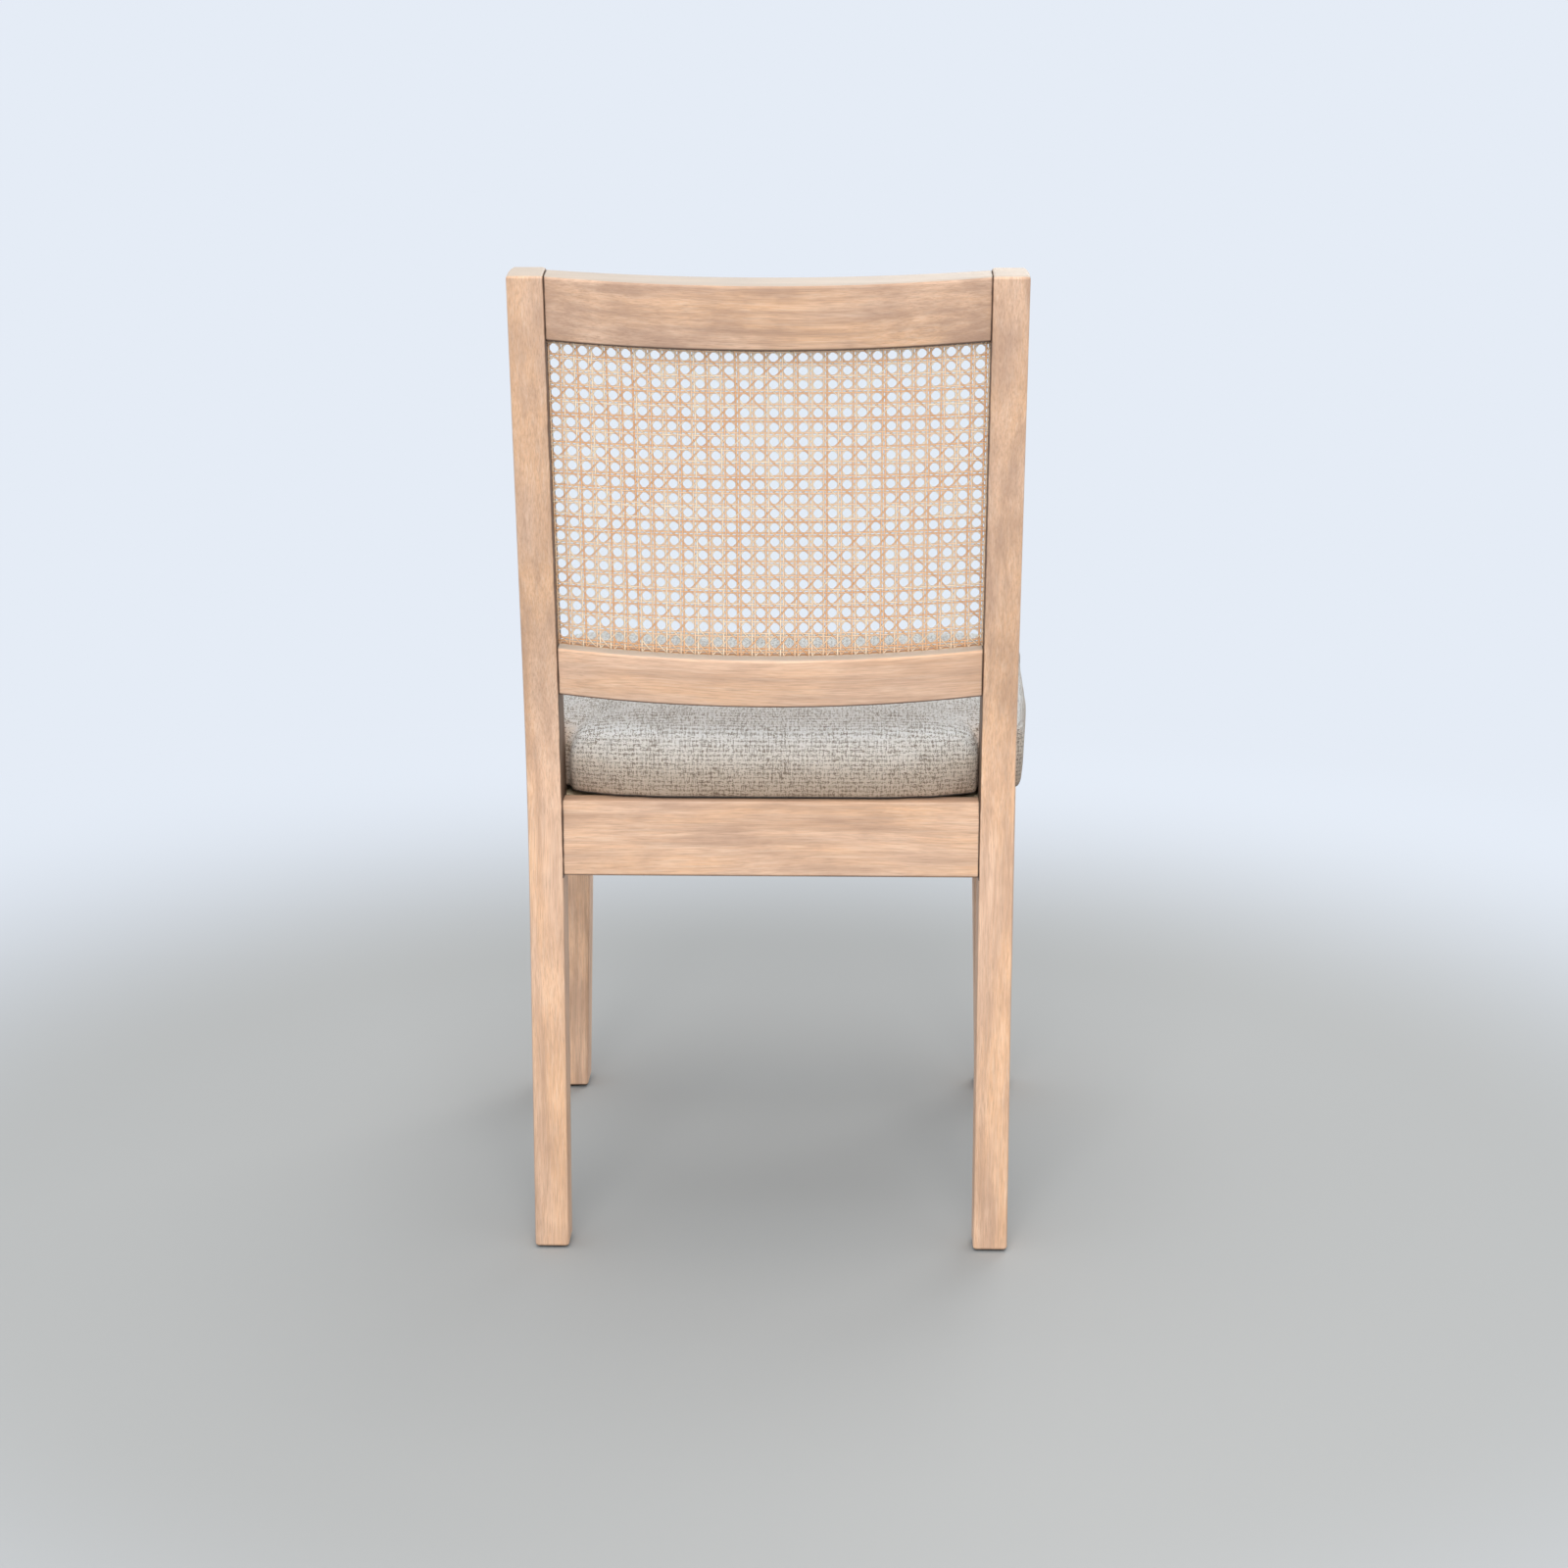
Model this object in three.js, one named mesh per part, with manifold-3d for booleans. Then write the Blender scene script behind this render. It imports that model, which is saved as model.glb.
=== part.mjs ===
// Dining chair with a cane back, in millimetres, +Z up. The sitter faces -Y, and +X is at the sitter's left.
// The origin is on the floor, under the middle of the chair's overall width and depth.

import * as THREE from 'three';
import { mergeVertices } from 'three/addons/utils/BufferGeometryUtils.js';
import Module from 'manifold-3d';

const wasm = await Module();
wasm.setup();

// Fit of touching pieces, and how far a facet may stand off a true curve
const fit = 0.3;
const facetSag = 0.25;

// Rear posts: one piece from floor to top, kicked back below the seat and raked back above it
const rearWidth = 445;
const postWidth = 32;
const rearFootY = 198.85;
const kickAngle = THREE.MathUtils.degToRad(2.35);
const rakeAngle = THREE.MathUtils.degToRad(9.4);
const kneeHeight = 437;
const postFootDepth = 34;
const postKneeDepth = 45.8;
const postTopDepth = 34;
const postLength = 480.5;
const backBend = 1100;
const frontBend = 600;
const edgeRound = 3;
const topCornerRound = 8;
const postFaceReach = 60.2;

// Seat frame
const seatRailTop = 433;
const seatRailHeight = 72;
const seatRailThickness = 22;
const railInset = 3.5;
const sideRailInset = 4;
const rearRailInset = 16.5;
const legSpacing = 442;
const frontWidth = 498;
const frontLegTop = { width: 46, depth: 48 };
const frontLegFoot = { width: 37, depth: 42 };
const tenonThickness = 10;
const tenonLength = 18;
const tenonShoulder = 10;
const tenonInset = 6;

// Back rails, measured along the rake from the knee; the n direction points out of the chair's back
const openingBottom = 143;
const caneCell = 25.4;
const caneColumns = 15;
const caneRows = 11;
const openingTop = openingBottom + caneRows * caneCell;
const lowerRail = { height: 46, backBow: 30, frontBow: 26 };
const crestRail = { height: 57, backBow: 34, frontBow: 28 };
const backRailInset = 3;
const backRailThickness = 26;

// Cane sheet and the splines beside its edges
const caneThickness = 1.5;
const caneEdgeN = -15;
const caneMiddleBow = 17.8;
const caneEase = { reach: 32, power: 1.3 };
const caneHole = 0.6 * caneCell;
const caneTuck = 8;
const splineThickness = 2.3;
const grooveDepth = 9;
const backTenonMargin = { overGroove: 3, atEdge: 5 };

// Seat: half widths and insets are measured from the middle and from the rear feet's back edge
const seatFront = { half: 252, overhang: 4, radius: 42 };
const seatRear = { half: 231, inset: 63.5, radius: 16 };
const tongueNeck = { half: 188, radius: 5 };
const tongueCorner = { half: 186.5, inset: 44, radius: 10 };
const tongueEnd = { half: 128, inset: 21, radius: 60 };
const seatCentreInset = 265;
const boardThickness = 12;
const boardInset = 14;
const dustThickness = 0.8;
const dustInset = 20;
const cushionHeight = 75;
const cushionShoulder = 70.5;

// Fixings and feet
const glideHeight = 1.4;
const glideRadius = 10;
const glideEdge = { inset: 1.2, rise: 0.7 };
const blockHeight = 40;
const blockDrop = 5;
const blockReach = 58;
const blockNotch = 3;
const blockTip = 6;
const crossScrewPlace = { inset: 28, depth: 24, length: 38 };
const sideScrewPlace = { inset: 18, depth: 34, length: 30 };
const seatScrewPlace = { inset: 14, depth: 34 };
const screwRadius = 2.2;
const screwHead = { radius: 4.5, height: 2.6 };
const counterbore = 5.6;
const counterboreDepth = 6;
const pilotDepth = 15;
const stemRadius = 2.2;
const stemLength = 14;

// How far a cutting tool runs past what it cuts
const past = 1;
const farPast = 60;

// Values that follow from the ones above
const halfOpening = rearWidth / 2 - postWidth;
const seatRailBottom = seatRailTop - seatRailHeight;
const kneeY = rearFootY - kneeHeight * Math.tan(kickAngle);
const legBottom = glideHeight + fit;
const frontFaceY = rearFootY - legSpacing - frontLegFoot.depth;
const railShoulder = halfOpening - fit;
const rearRailBackY = rearFootY - rearRailInset;
const rearRailFrontY = rearRailBackY - seatRailThickness;
const frontRailFrontY = frontFaceY + railInset;
const frontRailBackY = frontRailFrontY + seatRailThickness;

// Places in the raked back are given as x, n and v, with v along the posts
const backFrame = new THREE.Matrix4()
  .makeTranslation(0, kneeY, kneeHeight)
  .multiply(new THREE.Matrix4().makeRotationX(-rakeAngle));

const finishes = {
  wood: { color: 0xdcb99f, roughness: 0.62, metalness: 0 },
  cane: { color: 0xe2bf98, roughness: 0.5, metalness: 0 },
  reed: { color: 0xd8b48c, roughness: 0.55, metalness: 0 },
  tweed: { color: 0xbdb2a4, roughness: 0.95, metalness: 0 },
  plywood: { color: 0xd3b48c, roughness: 0.75, metalness: 0 },
  block: { color: 0xd9c19b, roughness: 0.7, metalness: 0 },
  dustCloth: { color: 0x1d1d1f, roughness: 0.95, metalness: 0 },
  nylon: { color: 0x6f675e, roughness: 0.5, metalness: 0 },
  zinc: { color: 0xb9bcc0, roughness: 0.35, metalness: 0.9 },
};

const chair = new THREE.Group();

// A named piece of the chair with a material of its own
function addPiece(name, geometry, finish, parent = chair) {
  geometry.computeVertexNormals();
  const piece = new THREE.Mesh(geometry, new THREE.MeshStandardMaterial(finishes[finish]));
  piece.name = name;
  parent.add(piece);
  return piece;
}

// Closed mesh to boolean solid and back
function toSolid(geometry) {
  const bare = geometry.clone();
  bare.deleteAttribute('normal');
  bare.deleteAttribute('uv');
  const merged = mergeVertices(bare, 1e-4);
  return new wasm.Manifold(new wasm.Mesh({
    numProp: 3,
    vertProperties: new Float32Array(merged.attributes.position.array),
    triVerts: new Uint32Array(merged.index.array),
  }));
}

function toGeometry(solid) {
  const mesh = solid.getMesh();
  const geometry = new THREE.BufferGeometry();
  geometry.setAttribute('position', new THREE.BufferAttribute(new Float32Array(mesh.vertProperties), 3));
  geometry.setIndex(new THREE.BufferAttribute(new Uint32Array(mesh.triVerts), 1));
  return geometry;
}

function join(geometries) {
  return toGeometry(geometries.map(toSolid).reduce((whole, part) => whole.add(part)));
}

function cut(geometry, tools) {
  return toGeometry(tools.map(toSolid).reduce((whole, tool) => whole.subtract(tool), toSolid(geometry)));
}

function common(geometry, other) {
  return toGeometry(toSolid(geometry).intersect(toSolid(other)));
}

// The same piece for the other side of the chair
function mirrored(geometry) {
  const twin = geometry.index ? geometry.toNonIndexed() : geometry.clone();
  twin.scale(-1, 1, 1);
  const place = twin.attributes.position;
  for (let first = 0; first < place.count; first += 3) {
    const second = new THREE.Vector3().fromBufferAttribute(place, first + 1);
    const third = new THREE.Vector3().fromBufferAttribute(place, first + 2);
    place.setXYZ(first + 1, third.x, third.y, third.z);
    place.setXYZ(first + 2, second.x, second.y, second.z);
  }
  twin.deleteAttribute('normal');
  return mergeVertices(twin, 1e-4);
}

function box([xMin, xMax], [yMin, yMax], [zMin, zMax]) {
  const geometry = new THREE.BoxGeometry(xMax - xMin, yMax - yMin, zMax - zMin);
  return geometry.translate((xMin + xMax) / 2, (yMin + yMax) / 2, (zMin + zMax) / 2);
}

// Points of an outline whose corners [x, y, radius] are rounded by true arcs
function outline(corners) {
  const points = [];
  corners.forEach(([x, y, radius = 0], index) => {
    const here = new THREE.Vector2(x, y);
    if (radius === 0) {
      points.push(here);
      return;
    }
    const [beforeX, beforeY] = corners.at(index - 1);
    const [afterX, afterY] = corners[(index + 1) % corners.length];
    const toBefore = new THREE.Vector2(beforeX - x, beforeY - y).normalize();
    const toAfter = new THREE.Vector2(afterX - x, afterY - y).normalize();
    const halfAngle = Math.acos(toBefore.dot(toAfter)) / 2;
    const inward = toBefore.clone().add(toAfter).normalize();
    const centre = here.clone().addScaledVector(inward, radius / Math.sin(halfAngle));
    const start = here.clone().addScaledVector(toBefore, radius / Math.tan(halfAngle));
    const turn = Math.sign(toAfter.cross(toBefore)) * (Math.PI - 2 * halfAngle);
    const steps = Math.max(1, Math.ceil(Math.abs(turn) / (2 * Math.acos(1 - facetSag / radius))));
    for (let step = 0; step <= steps; step += 1) {
      points.push(start.clone().rotateAround(centre, (turn * step) / steps));
    }
  });
  return points;
}

// A board of an outline, with its long edges rounded
function board(points, thickness, round = 0) {
  const geometry = new THREE.ExtrudeGeometry(new THREE.Shape(points), {
    depth: thickness - 2 * round,
    steps: 1,
    bevelEnabled: round > 0,
    bevelThickness: round,
    bevelSize: round,
    bevelOffset: -round,
    bevelSegments: 2,
  });
  return geometry.translate(0, 0, round);
}

// The skin through rings of equally many points, given from the lowest up and counterclockwise from above
function loft(rings) {
  const corners = [];
  const size = rings[0].length;
  const total = (ring) => ring.reduce((sum, point) => sum.add(point), new THREE.Vector3());
  const middle = (ring) => total(ring).divideScalar(size);
  const addTriangle = (...points) => points.forEach((point) => corners.push(point.x, point.y, point.z));
  for (let i = 0; i < size; i += 1) {
    const next = (i + 1) % size;
    addTriangle(middle(rings[0]), rings[0][next], rings[0][i]);
    addTriangle(middle(rings.at(-1)), rings.at(-1)[i], rings.at(-1)[next]);
    for (let level = 0; level + 1 < rings.length; level += 1) {
      addTriangle(rings[level][i], rings[level][next], rings[level + 1][next]);
      addTriangle(rings[level][i], rings[level + 1][next], rings[level + 1][i]);
    }
  }
  const geometry = new THREE.BufferGeometry();
  geometry.setAttribute('position', new THREE.Float32BufferAttribute(corners, 3));
  return geometry;
}

// Outlines drawn in the side view (y, z) and in the front view (x, z)
const fromSideView = new THREE.Matrix4().makeBasis(
  new THREE.Vector3(0, 1, 0), new THREE.Vector3(0, 0, 1), new THREE.Vector3(1, 0, 0));
const fromFrontView = new THREE.Matrix4().makeBasis(
  new THREE.Vector3(1, 0, 0), new THREE.Vector3(0, 0, 1), new THREE.Vector3(0, -1, 0));

// Stations across the back: the lines between the cane's cells, closed off at a reach to either side
function stationsTo(reach) {
  const lines = Array.from({ length: caneColumns + 1 }, (_, i) => -halfOpening + i * caneCell);
  return [-reach, ...lines.filter((x) => Math.abs(x) < reach - 0.5), reach];
}

// Bow of a back piece: how far it stands back at x, being straight across the posts
function bow(x, sag) {
  const share = Math.min(1, Math.abs(x) / halfOpening);
  return sag * (1 - share * share);
}

// Depth of the cane at x and v: bowed as the rails are at its ends, flatter between, as a stretched sheet is
function caneDepth(x, v) {
  const held = (rail, away) => {
    const ease = Math.exp(-((Math.max(away, 0) / caneEase.reach) ** caneEase.power));
    return (rail.backBow - caneMiddleBow) * ease;
  };
  const extra = held(crestRail, openingTop - v) + held(lowerRail, v - openingBottom);
  return caneEdgeN + bow(x, caneMiddleBow + extra);
}

// Rear post: the side view with its knee, crossed with the front view with its rounded top corner
function rearPost() {
  const topV = postLength;
  const upperBack = (v, n) => new THREE.Vector3(0, n, v).applyMatrix4(backFrame);
  const backTop = upperBack(topV, 0);
  const frontTop = upperBack(topV, -postTopDepth);
  const side = outline([
    [rearFootY, legBottom, edgeRound],
    [rearFootY - postFootDepth, legBottom, edgeRound],
    [kneeY - postKneeDepth, kneeHeight, frontBend],
    [frontTop.y, frontTop.z, edgeRound],
    [backTop.y, backTop.z, edgeRound],
    [kneeY, kneeHeight, backBend],
  ].reverse());
  const blank = board(side, postWidth, edgeRound).applyMatrix4(fromSideView);
  blank.translate(halfOpening, 0, 0);
  const front = outline([
    [halfOpening - past, 0],
    [rearWidth / 2 + 0.01, 0],
    [rearWidth / 2 + 0.01, frontTop.z + 0.5, topCornerRound],
    [halfOpening - past, frontTop.z + 0.5],
  ]);
  const gauge = board(front, legSpacing).applyMatrix4(fromFrontView);
  gauge.translate(0, rearFootY + legSpacing / 2, 0);
  const railSlots = [lowerRail, crestRail].map((rail) => {
    const [low, high] = tenonSpan(rail);
    const slot = box(
      [halfOpening - past, halfOpening + tenonLength + fit],
      [tenonN[0] - fit, tenonN[1] + fit],
      [low - fit, high + fit],
    );
    return slot.applyMatrix4(backFrame);
  });
  const caneSlot = box(
    [halfOpening - past, halfOpening + grooveDepth],
    [caneEdgeN - caneThickness / 2 - splineThickness - 3 * fit, caneEdgeN + caneThickness / 2 + fit],
    [openingBottom - 2 * past, openingTop + 2 * past],
  ).applyMatrix4(backFrame);
  const rearRailSlot = box(
    [halfOpening - past, halfOpening + tenonLength + fit],
    [rearRailTenonY[0] - fit, rearRailTenonY[1] + fit],
    [seatRailBottom + tenonShoulder - fit, seatRailTop - tenonShoulder + fit],
  );
  const sideRailSlot = box(
    [sideRailTenonX.rear[0] - fit, sideRailTenonX.rear[1] + fit],
    [sideRailRearY - fit, sideRailRearY + tenonLength + fit],
    [seatRailBottom + tenonShoulder - fit, seatRailTop - tenonShoulder + fit],
  );
  const glideHole = glideBore(rearGlide);
  return cut(common(blank, gauge), [...railSlots, caneSlot, rearRailSlot, sideRailSlot, glideHole]);
}

// Tenons of the back rails
const tenonN = [caneEdgeN - tenonThickness / 2 - 1, caneEdgeN + tenonThickness / 2 - 1];
function railSpan(rail) {
  return rail === crestRail
    ? [openingTop, openingTop + rail.height]
    : [openingBottom - rail.height, openingBottom];
}
function tenonSpan(rail) {
  const [low, high] = railSpan(rail);
  const { overGroove, atEdge } = backTenonMargin;
  return rail === crestRail
    ? [low + grooveDepth + overGroove, high - atEdge]
    : [low + atEdge, high - grooveDepth - overGroove];
}

// Seat rail tenons
const rearRailTenonY = [rearRailBackY - tenonInset - tenonThickness, rearRailBackY - tenonInset];
const frontRailTenonY = [frontRailFrontY + tenonInset, frontRailFrontY + tenonInset + tenonThickness];
const sideRailRearY = rearFootY - postFaceReach;
const sideRailFrontY = frontFaceY + frontLegTop.depth + fit;
const sideRailOuter = { rear: rearWidth / 2 - sideRailInset, front: frontWidth / 2 - sideRailInset };
const sideRailTenonX = {
  rear: [sideRailOuter.rear - tenonInset - tenonThickness, sideRailOuter.rear - tenonInset],
  front: [sideRailOuter.front - tenonInset - tenonThickness, sideRailOuter.front - tenonInset],
};

// Outer and inner face of a side rail at a given y
function sideRailX(y, inward = 0) {
  const share = (sideRailRearY - y) / (sideRailRearY - sideRailFrontY);
  return THREE.MathUtils.lerp(sideRailOuter.rear, sideRailOuter.front, share) - inward;
}

// A bowed back rail: its plan is extruded along the posts, cut square at the shoulders, tenoned and grooved
function backRail(rail) {
  const [low, high] = railSpan(rail);
  const stations = stationsTo(halfOpening + tenonShoulder);
  const back = stations.map((x) => new THREE.Vector2(x, -backRailInset + bow(x, rail.backBow)));
  const front = stations.map((x) => new THREE.Vector2(
    x, -backRailInset - backRailThickness + bow(x, rail.frontBow)));
  const blank = board([...front, ...back.reverse()], rail.height, edgeRound).translate(0, 0, low);
  const gauge = box([-railShoulder, railShoulder], [-farPast, farPast], [low - past, high + past]);
  const [tenonLow, tenonHigh] = tenonSpan(rail);
  const tenons = [-1, 1].map((side) => {
    const ends = [side * (railShoulder - 2), side * (halfOpening + tenonLength)].sort((a, b) => a - b);
    return box(ends, tenonN, [tenonLow, tenonHigh]);
  });
  const [mouth, floor] = rail === crestRail
    ? [low - past, low + grooveDepth]
    : [high - grooveDepth, high + past];
  return cut(join([common(blank, gauge), ...tenons]), [caneGroove(rail, mouth, floor)]);
}

// Groove that follows the cane along a rail: the sheet lies at its back wall, the spline before it
function caneGroove(rail, low, high) {
  const stations = stationsTo(halfOpening);
  const edge = (x) => caneEdgeN + bow(x, rail.backBow);
  const frontSide = caneThickness / 2 + splineThickness + 3 * fit;
  const front = stations.map((x) => new THREE.Vector2(x, edge(x) - frontSide));
  const back = stations.map((x) => new THREE.Vector2(x, edge(x) + caneThickness / 2 + fit));
  return board([...front, ...back.reverse()], high - low).translate(0, 0, low);
}

// Cane sheet: a bowed net of octagonal gaps, with a plain rim tucked into the grooves
function canePanel() {
  const corners = [];
  const layer = (x, v, side) => [x, caneDepth(x, v) + (side * caneThickness) / 2, v];
  const addTriangle = (a, b, c, side) => {
    const order = side < 0 ? [a, b, c] : [a, c, b];
    order.forEach(([x, v]) => corners.push(...layer(x, v, side)));
  };
  const addFace = (a, b, c) => [-1, 1].forEach((side) => addTriangle(a, b, c, side));
  const addWall = ([px, pv], [qx, qv]) => {
    const pFront = layer(px, pv, -1);
    const pBack = layer(px, pv, 1);
    const qFront = layer(qx, qv, -1);
    const qBack = layer(qx, qv, 1);
    corners.push(...pFront, ...pBack, ...qBack, ...pFront, ...qBack, ...qFront);
  };
  const gapCorner = (x, v, k) => {
    const angle = ((2 * k + 1) * Math.PI) / 8;
    const radius = caneHole / 2 / Math.cos(Math.PI / 8);
    return [x + radius * Math.cos(angle), v + radius * Math.sin(angle)];
  };
  const addCell = (x0, x1, v0, v1) => {
    const square = [[x1, v1], [x0, v1], [x0, v0], [x1, v0]];
    const gap = Array.from({ length: 8 }, (_, k) => gapCorner((x0 + x1) / 2, (v0 + v1) / 2, k));
    square.forEach((corner, k) => {
      const following = square[(k + 1) % 4];
      addFace(corner, gap[2 * k + 1], gap[2 * k]);
      addFace(corner, following, gap[2 * k + 1]);
      addFace(following, gap[(2 * k + 2) % 8], gap[2 * k + 1]);
    });
    gap.forEach((corner, k) => addWall(gap[(k + 1) % 8], corner));
  };
  const addRim = (x0, x1, v0, v1) => {
    addFace([x0, v0], [x1, v0], [x1, v1]);
    addFace([x0, v0], [x1, v1], [x0, v1]);
  };
  const xs = Array.from({ length: caneColumns + 1 }, (_, i) => -halfOpening + i * caneCell);
  const vs = Array.from({ length: caneRows + 1 }, (_, i) => openingBottom + i * caneCell);
  const [left, right, low, high] = [xs[0], xs.at(-1), vs[0], vs.at(-1)];
  for (let i = 0; i < caneColumns; i += 1) {
    for (let j = 0; j < caneRows; j += 1) {
      addCell(xs[i], xs[i + 1], vs[j], vs[j + 1]);
    }
    addRim(xs[i], xs[i + 1], low - caneTuck, low);
    addRim(xs[i], xs[i + 1], high, high + caneTuck);
    addWall([xs[i], low - caneTuck], [xs[i + 1], low - caneTuck]);
    addWall([xs[i + 1], high + caneTuck], [xs[i], high + caneTuck]);
  }
  for (let j = 0; j < caneRows; j += 1) {
    addRim(left - caneTuck, left, vs[j], vs[j + 1]);
    addRim(right, right + caneTuck, vs[j], vs[j + 1]);
    addWall([left - caneTuck, vs[j + 1]], [left - caneTuck, vs[j]]);
    addWall([right + caneTuck, vs[j]], [right + caneTuck, vs[j + 1]]);
  }
  addWall([left, low], [left, low - caneTuck]);
  addWall([left - caneTuck, low], [left, low]);
  addWall([right, low - caneTuck], [right, low]);
  addWall([right, low], [right + caneTuck, low]);
  addWall([left, high + caneTuck], [left, high]);
  addWall([left, high], [left - caneTuck, high]);
  addWall([right, high], [right, high + caneTuck]);
  addWall([right + caneTuck, high], [right, high]);
  const geometry = new THREE.BufferGeometry();
  geometry.setAttribute('position', new THREE.Float32BufferAttribute(corners, 3));
  return mergeVertices(geometry, 1e-4);
}

// Splines: strips of reed in the grooves, in front of the tucked cane
function railSpline(rail, low, high) {
  const stations = stationsTo(halfOpening - 1);
  const near = (x) => caneEdgeN + bow(x, rail.backBow) - caneThickness / 2 - fit;
  const back = stations.map((x) => new THREE.Vector2(x, near(x)));
  const front = stations.map((x) => new THREE.Vector2(x, near(x) - splineThickness));
  return board([...front, ...back.reverse()], high - low).translate(0, 0, low);
}

function postSpline() {
  const near = caneEdgeN - caneThickness / 2 - fit;
  return box(
    [halfOpening + 1, halfOpening + caneTuck],
    [near - splineThickness, near],
    [openingBottom + 1, openingTop - 1],
  );
}

// Straight seat rail across the chair, tenoned at both ends
function crossRail(shoulder, [backY, frontY], [tenonFront, tenonBack]) {
  const plan = outline([
    [-shoulder - tenonShoulder, frontY],
    [shoulder + tenonShoulder, frontY],
    [shoulder + tenonShoulder, backY],
    [-shoulder - tenonShoulder, backY],
  ]);
  const blank = board(plan, seatRailHeight, edgeRound).translate(0, 0, seatRailBottom);
  const gauge = box(
    [-shoulder, shoulder], [frontY - past, backY + past], [seatRailBottom - past, seatRailTop + past]);
  const tenon = box(
    [-shoulder - tenonLength, shoulder + tenonLength],
    [tenonFront, tenonBack],
    [seatRailBottom + tenonShoulder, seatRailTop - tenonShoulder],
  );
  return join([common(blank, gauge), tenon]);
}

// Side seat rail at the sitter's left, running outward from the rear post to the front leg
function sideRail() {
  const rearEnd = sideRailRearY + tenonShoulder;
  const frontEnd = sideRailFrontY - tenonShoulder;
  const plan = outline([
    [sideRailX(frontEnd, seatRailThickness), frontEnd],
    [sideRailX(frontEnd), frontEnd],
    [sideRailX(rearEnd), rearEnd],
    [sideRailX(rearEnd, seatRailThickness), rearEnd],
  ]);
  const blank = board(plan, seatRailHeight, edgeRound).translate(0, 0, seatRailBottom);
  const gauge = box(
    [halfOpening, frontWidth / 2],
    [sideRailFrontY, sideRailRearY - fit],
    [seatRailBottom - past, seatRailTop + past],
  );
  const tenonHeight = [seatRailBottom + tenonShoulder, seatRailTop - tenonShoulder];
  const rearTenon = box(sideRailTenonX.rear, [sideRailRearY - 3, sideRailRearY + tenonLength], tenonHeight);
  const frontTenon = box(
    sideRailTenonX.front, [sideRailFrontY - tenonLength, sideRailFrontY + 2], tenonHeight);
  return join([common(blank, gauge), rearTenon, frontTenon]);
}

// Front leg at the sitter's left: its inner and back faces taper down to the foot
function frontLeg() {
  const outerX = frontWidth / 2;
  const section = (width, depth, z, inset) => outline([
    [outerX - width + inset, frontFaceY + inset, edgeRound],
    [outerX - inset, frontFaceY + inset, edgeRound],
    [outerX - inset, frontFaceY + depth - inset, edgeRound],
    [outerX - width + inset, frontFaceY + depth - inset, edgeRound],
  ]).map((point) => new THREE.Vector3(point.x, point.y, z));
  const { width: topWidth, depth: topDepth } = frontLegTop;
  const { width: footWidth, depth: footDepth } = frontLegFoot;
  const blank = loft([
    section(footWidth, footDepth, legBottom, 2.5),
    section(footWidth, footDepth, legBottom + 1, 0.8),
    section(footWidth, footDepth, legBottom + 3, 0),
    section(topWidth, topDepth, seatRailBottom - 4, 0),
    section(topWidth, topDepth, seatRailTop, 0),
  ]);
  const height = [seatRailBottom + tenonShoulder - fit, seatRailTop - tenonShoulder + fit];
  const innerX = outerX - topWidth;
  const frontRailSlot = box(
    [innerX - past, innerX + tenonLength + fit],
    [frontRailTenonY[0] - fit, frontRailTenonY[1] + fit],
    height,
  );
  const sideRailSlot = box(
    [sideRailTenonX.front[0] - fit, sideRailTenonX.front[1] + fit],
    [sideRailFrontY - tenonLength - fit, sideRailFrontY + past],
    height,
  );
  return cut(blank, [frontRailSlot, sideRailSlot, glideBore(frontGlide)]);
}

// Nail-on glides, each with its stem in the leg
const rearGlide = { x: rearWidth / 2 - postWidth / 2, y: rearFootY - postFootDepth / 2 };
const frontGlide = {
  x: frontWidth / 2 - frontLegFoot.width / 2,
  y: frontFaceY + frontLegFoot.depth / 2,
};

function glideBore({ x, y }) {
  const length = stemLength + 2 * past;
  const bore = new THREE.CylinderGeometry(stemRadius + fit, stemRadius + fit, length, 10);
  return bore.rotateX(Math.PI / 2).translate(x, y, legBottom - past + length / 2);
}

function glide() {
  const profile = [
    [0, 0],
    [glideRadius - glideEdge.inset, 0],
    [glideRadius, glideEdge.rise],
    [glideRadius, glideHeight],
    [stemRadius, glideHeight],
    [stemRadius, glideHeight + stemLength],
    [0, glideHeight + stemLength],
  ].map(([radius, z]) => new THREE.Vector2(radius, z));
  return new THREE.LatheGeometry(profile, 14).rotateX(Math.PI / 2);
}

// Plan of the seat: wider at the front, with a rounded tongue between the posts
const seatCentreY = rearFootY - seatCentreInset;
const halfSeatPlan = [
  [seatFront.half, frontFaceY - seatFront.overhang, seatFront.radius],
  [seatRear.half, rearFootY - seatRear.inset, seatRear.radius],
  [tongueNeck.half, rearFootY - seatRear.inset, tongueNeck.radius],
  [tongueCorner.half, rearFootY - tongueCorner.inset, tongueCorner.radius],
  [tongueEnd.half, rearFootY - tongueEnd.inset, tongueEnd.radius],
];
const seatPlan = outline([
  ...halfSeatPlan,
  ...halfSeatPlan.map(([x, y, radius]) => [-x, y, radius]).reverse(),
]);

// The seat's plan drawn in by a distance towards its centre
function seatRing(inset, height) {
  return seatPlan.map(({ x, y }) => {
    const reach = Math.hypot(x, y - seatCentreY);
    const share = 1 - inset / reach;
    return new THREE.Vector3(x * share, seatCentreY + (y - seatCentreY) * share, height);
  });
}

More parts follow.
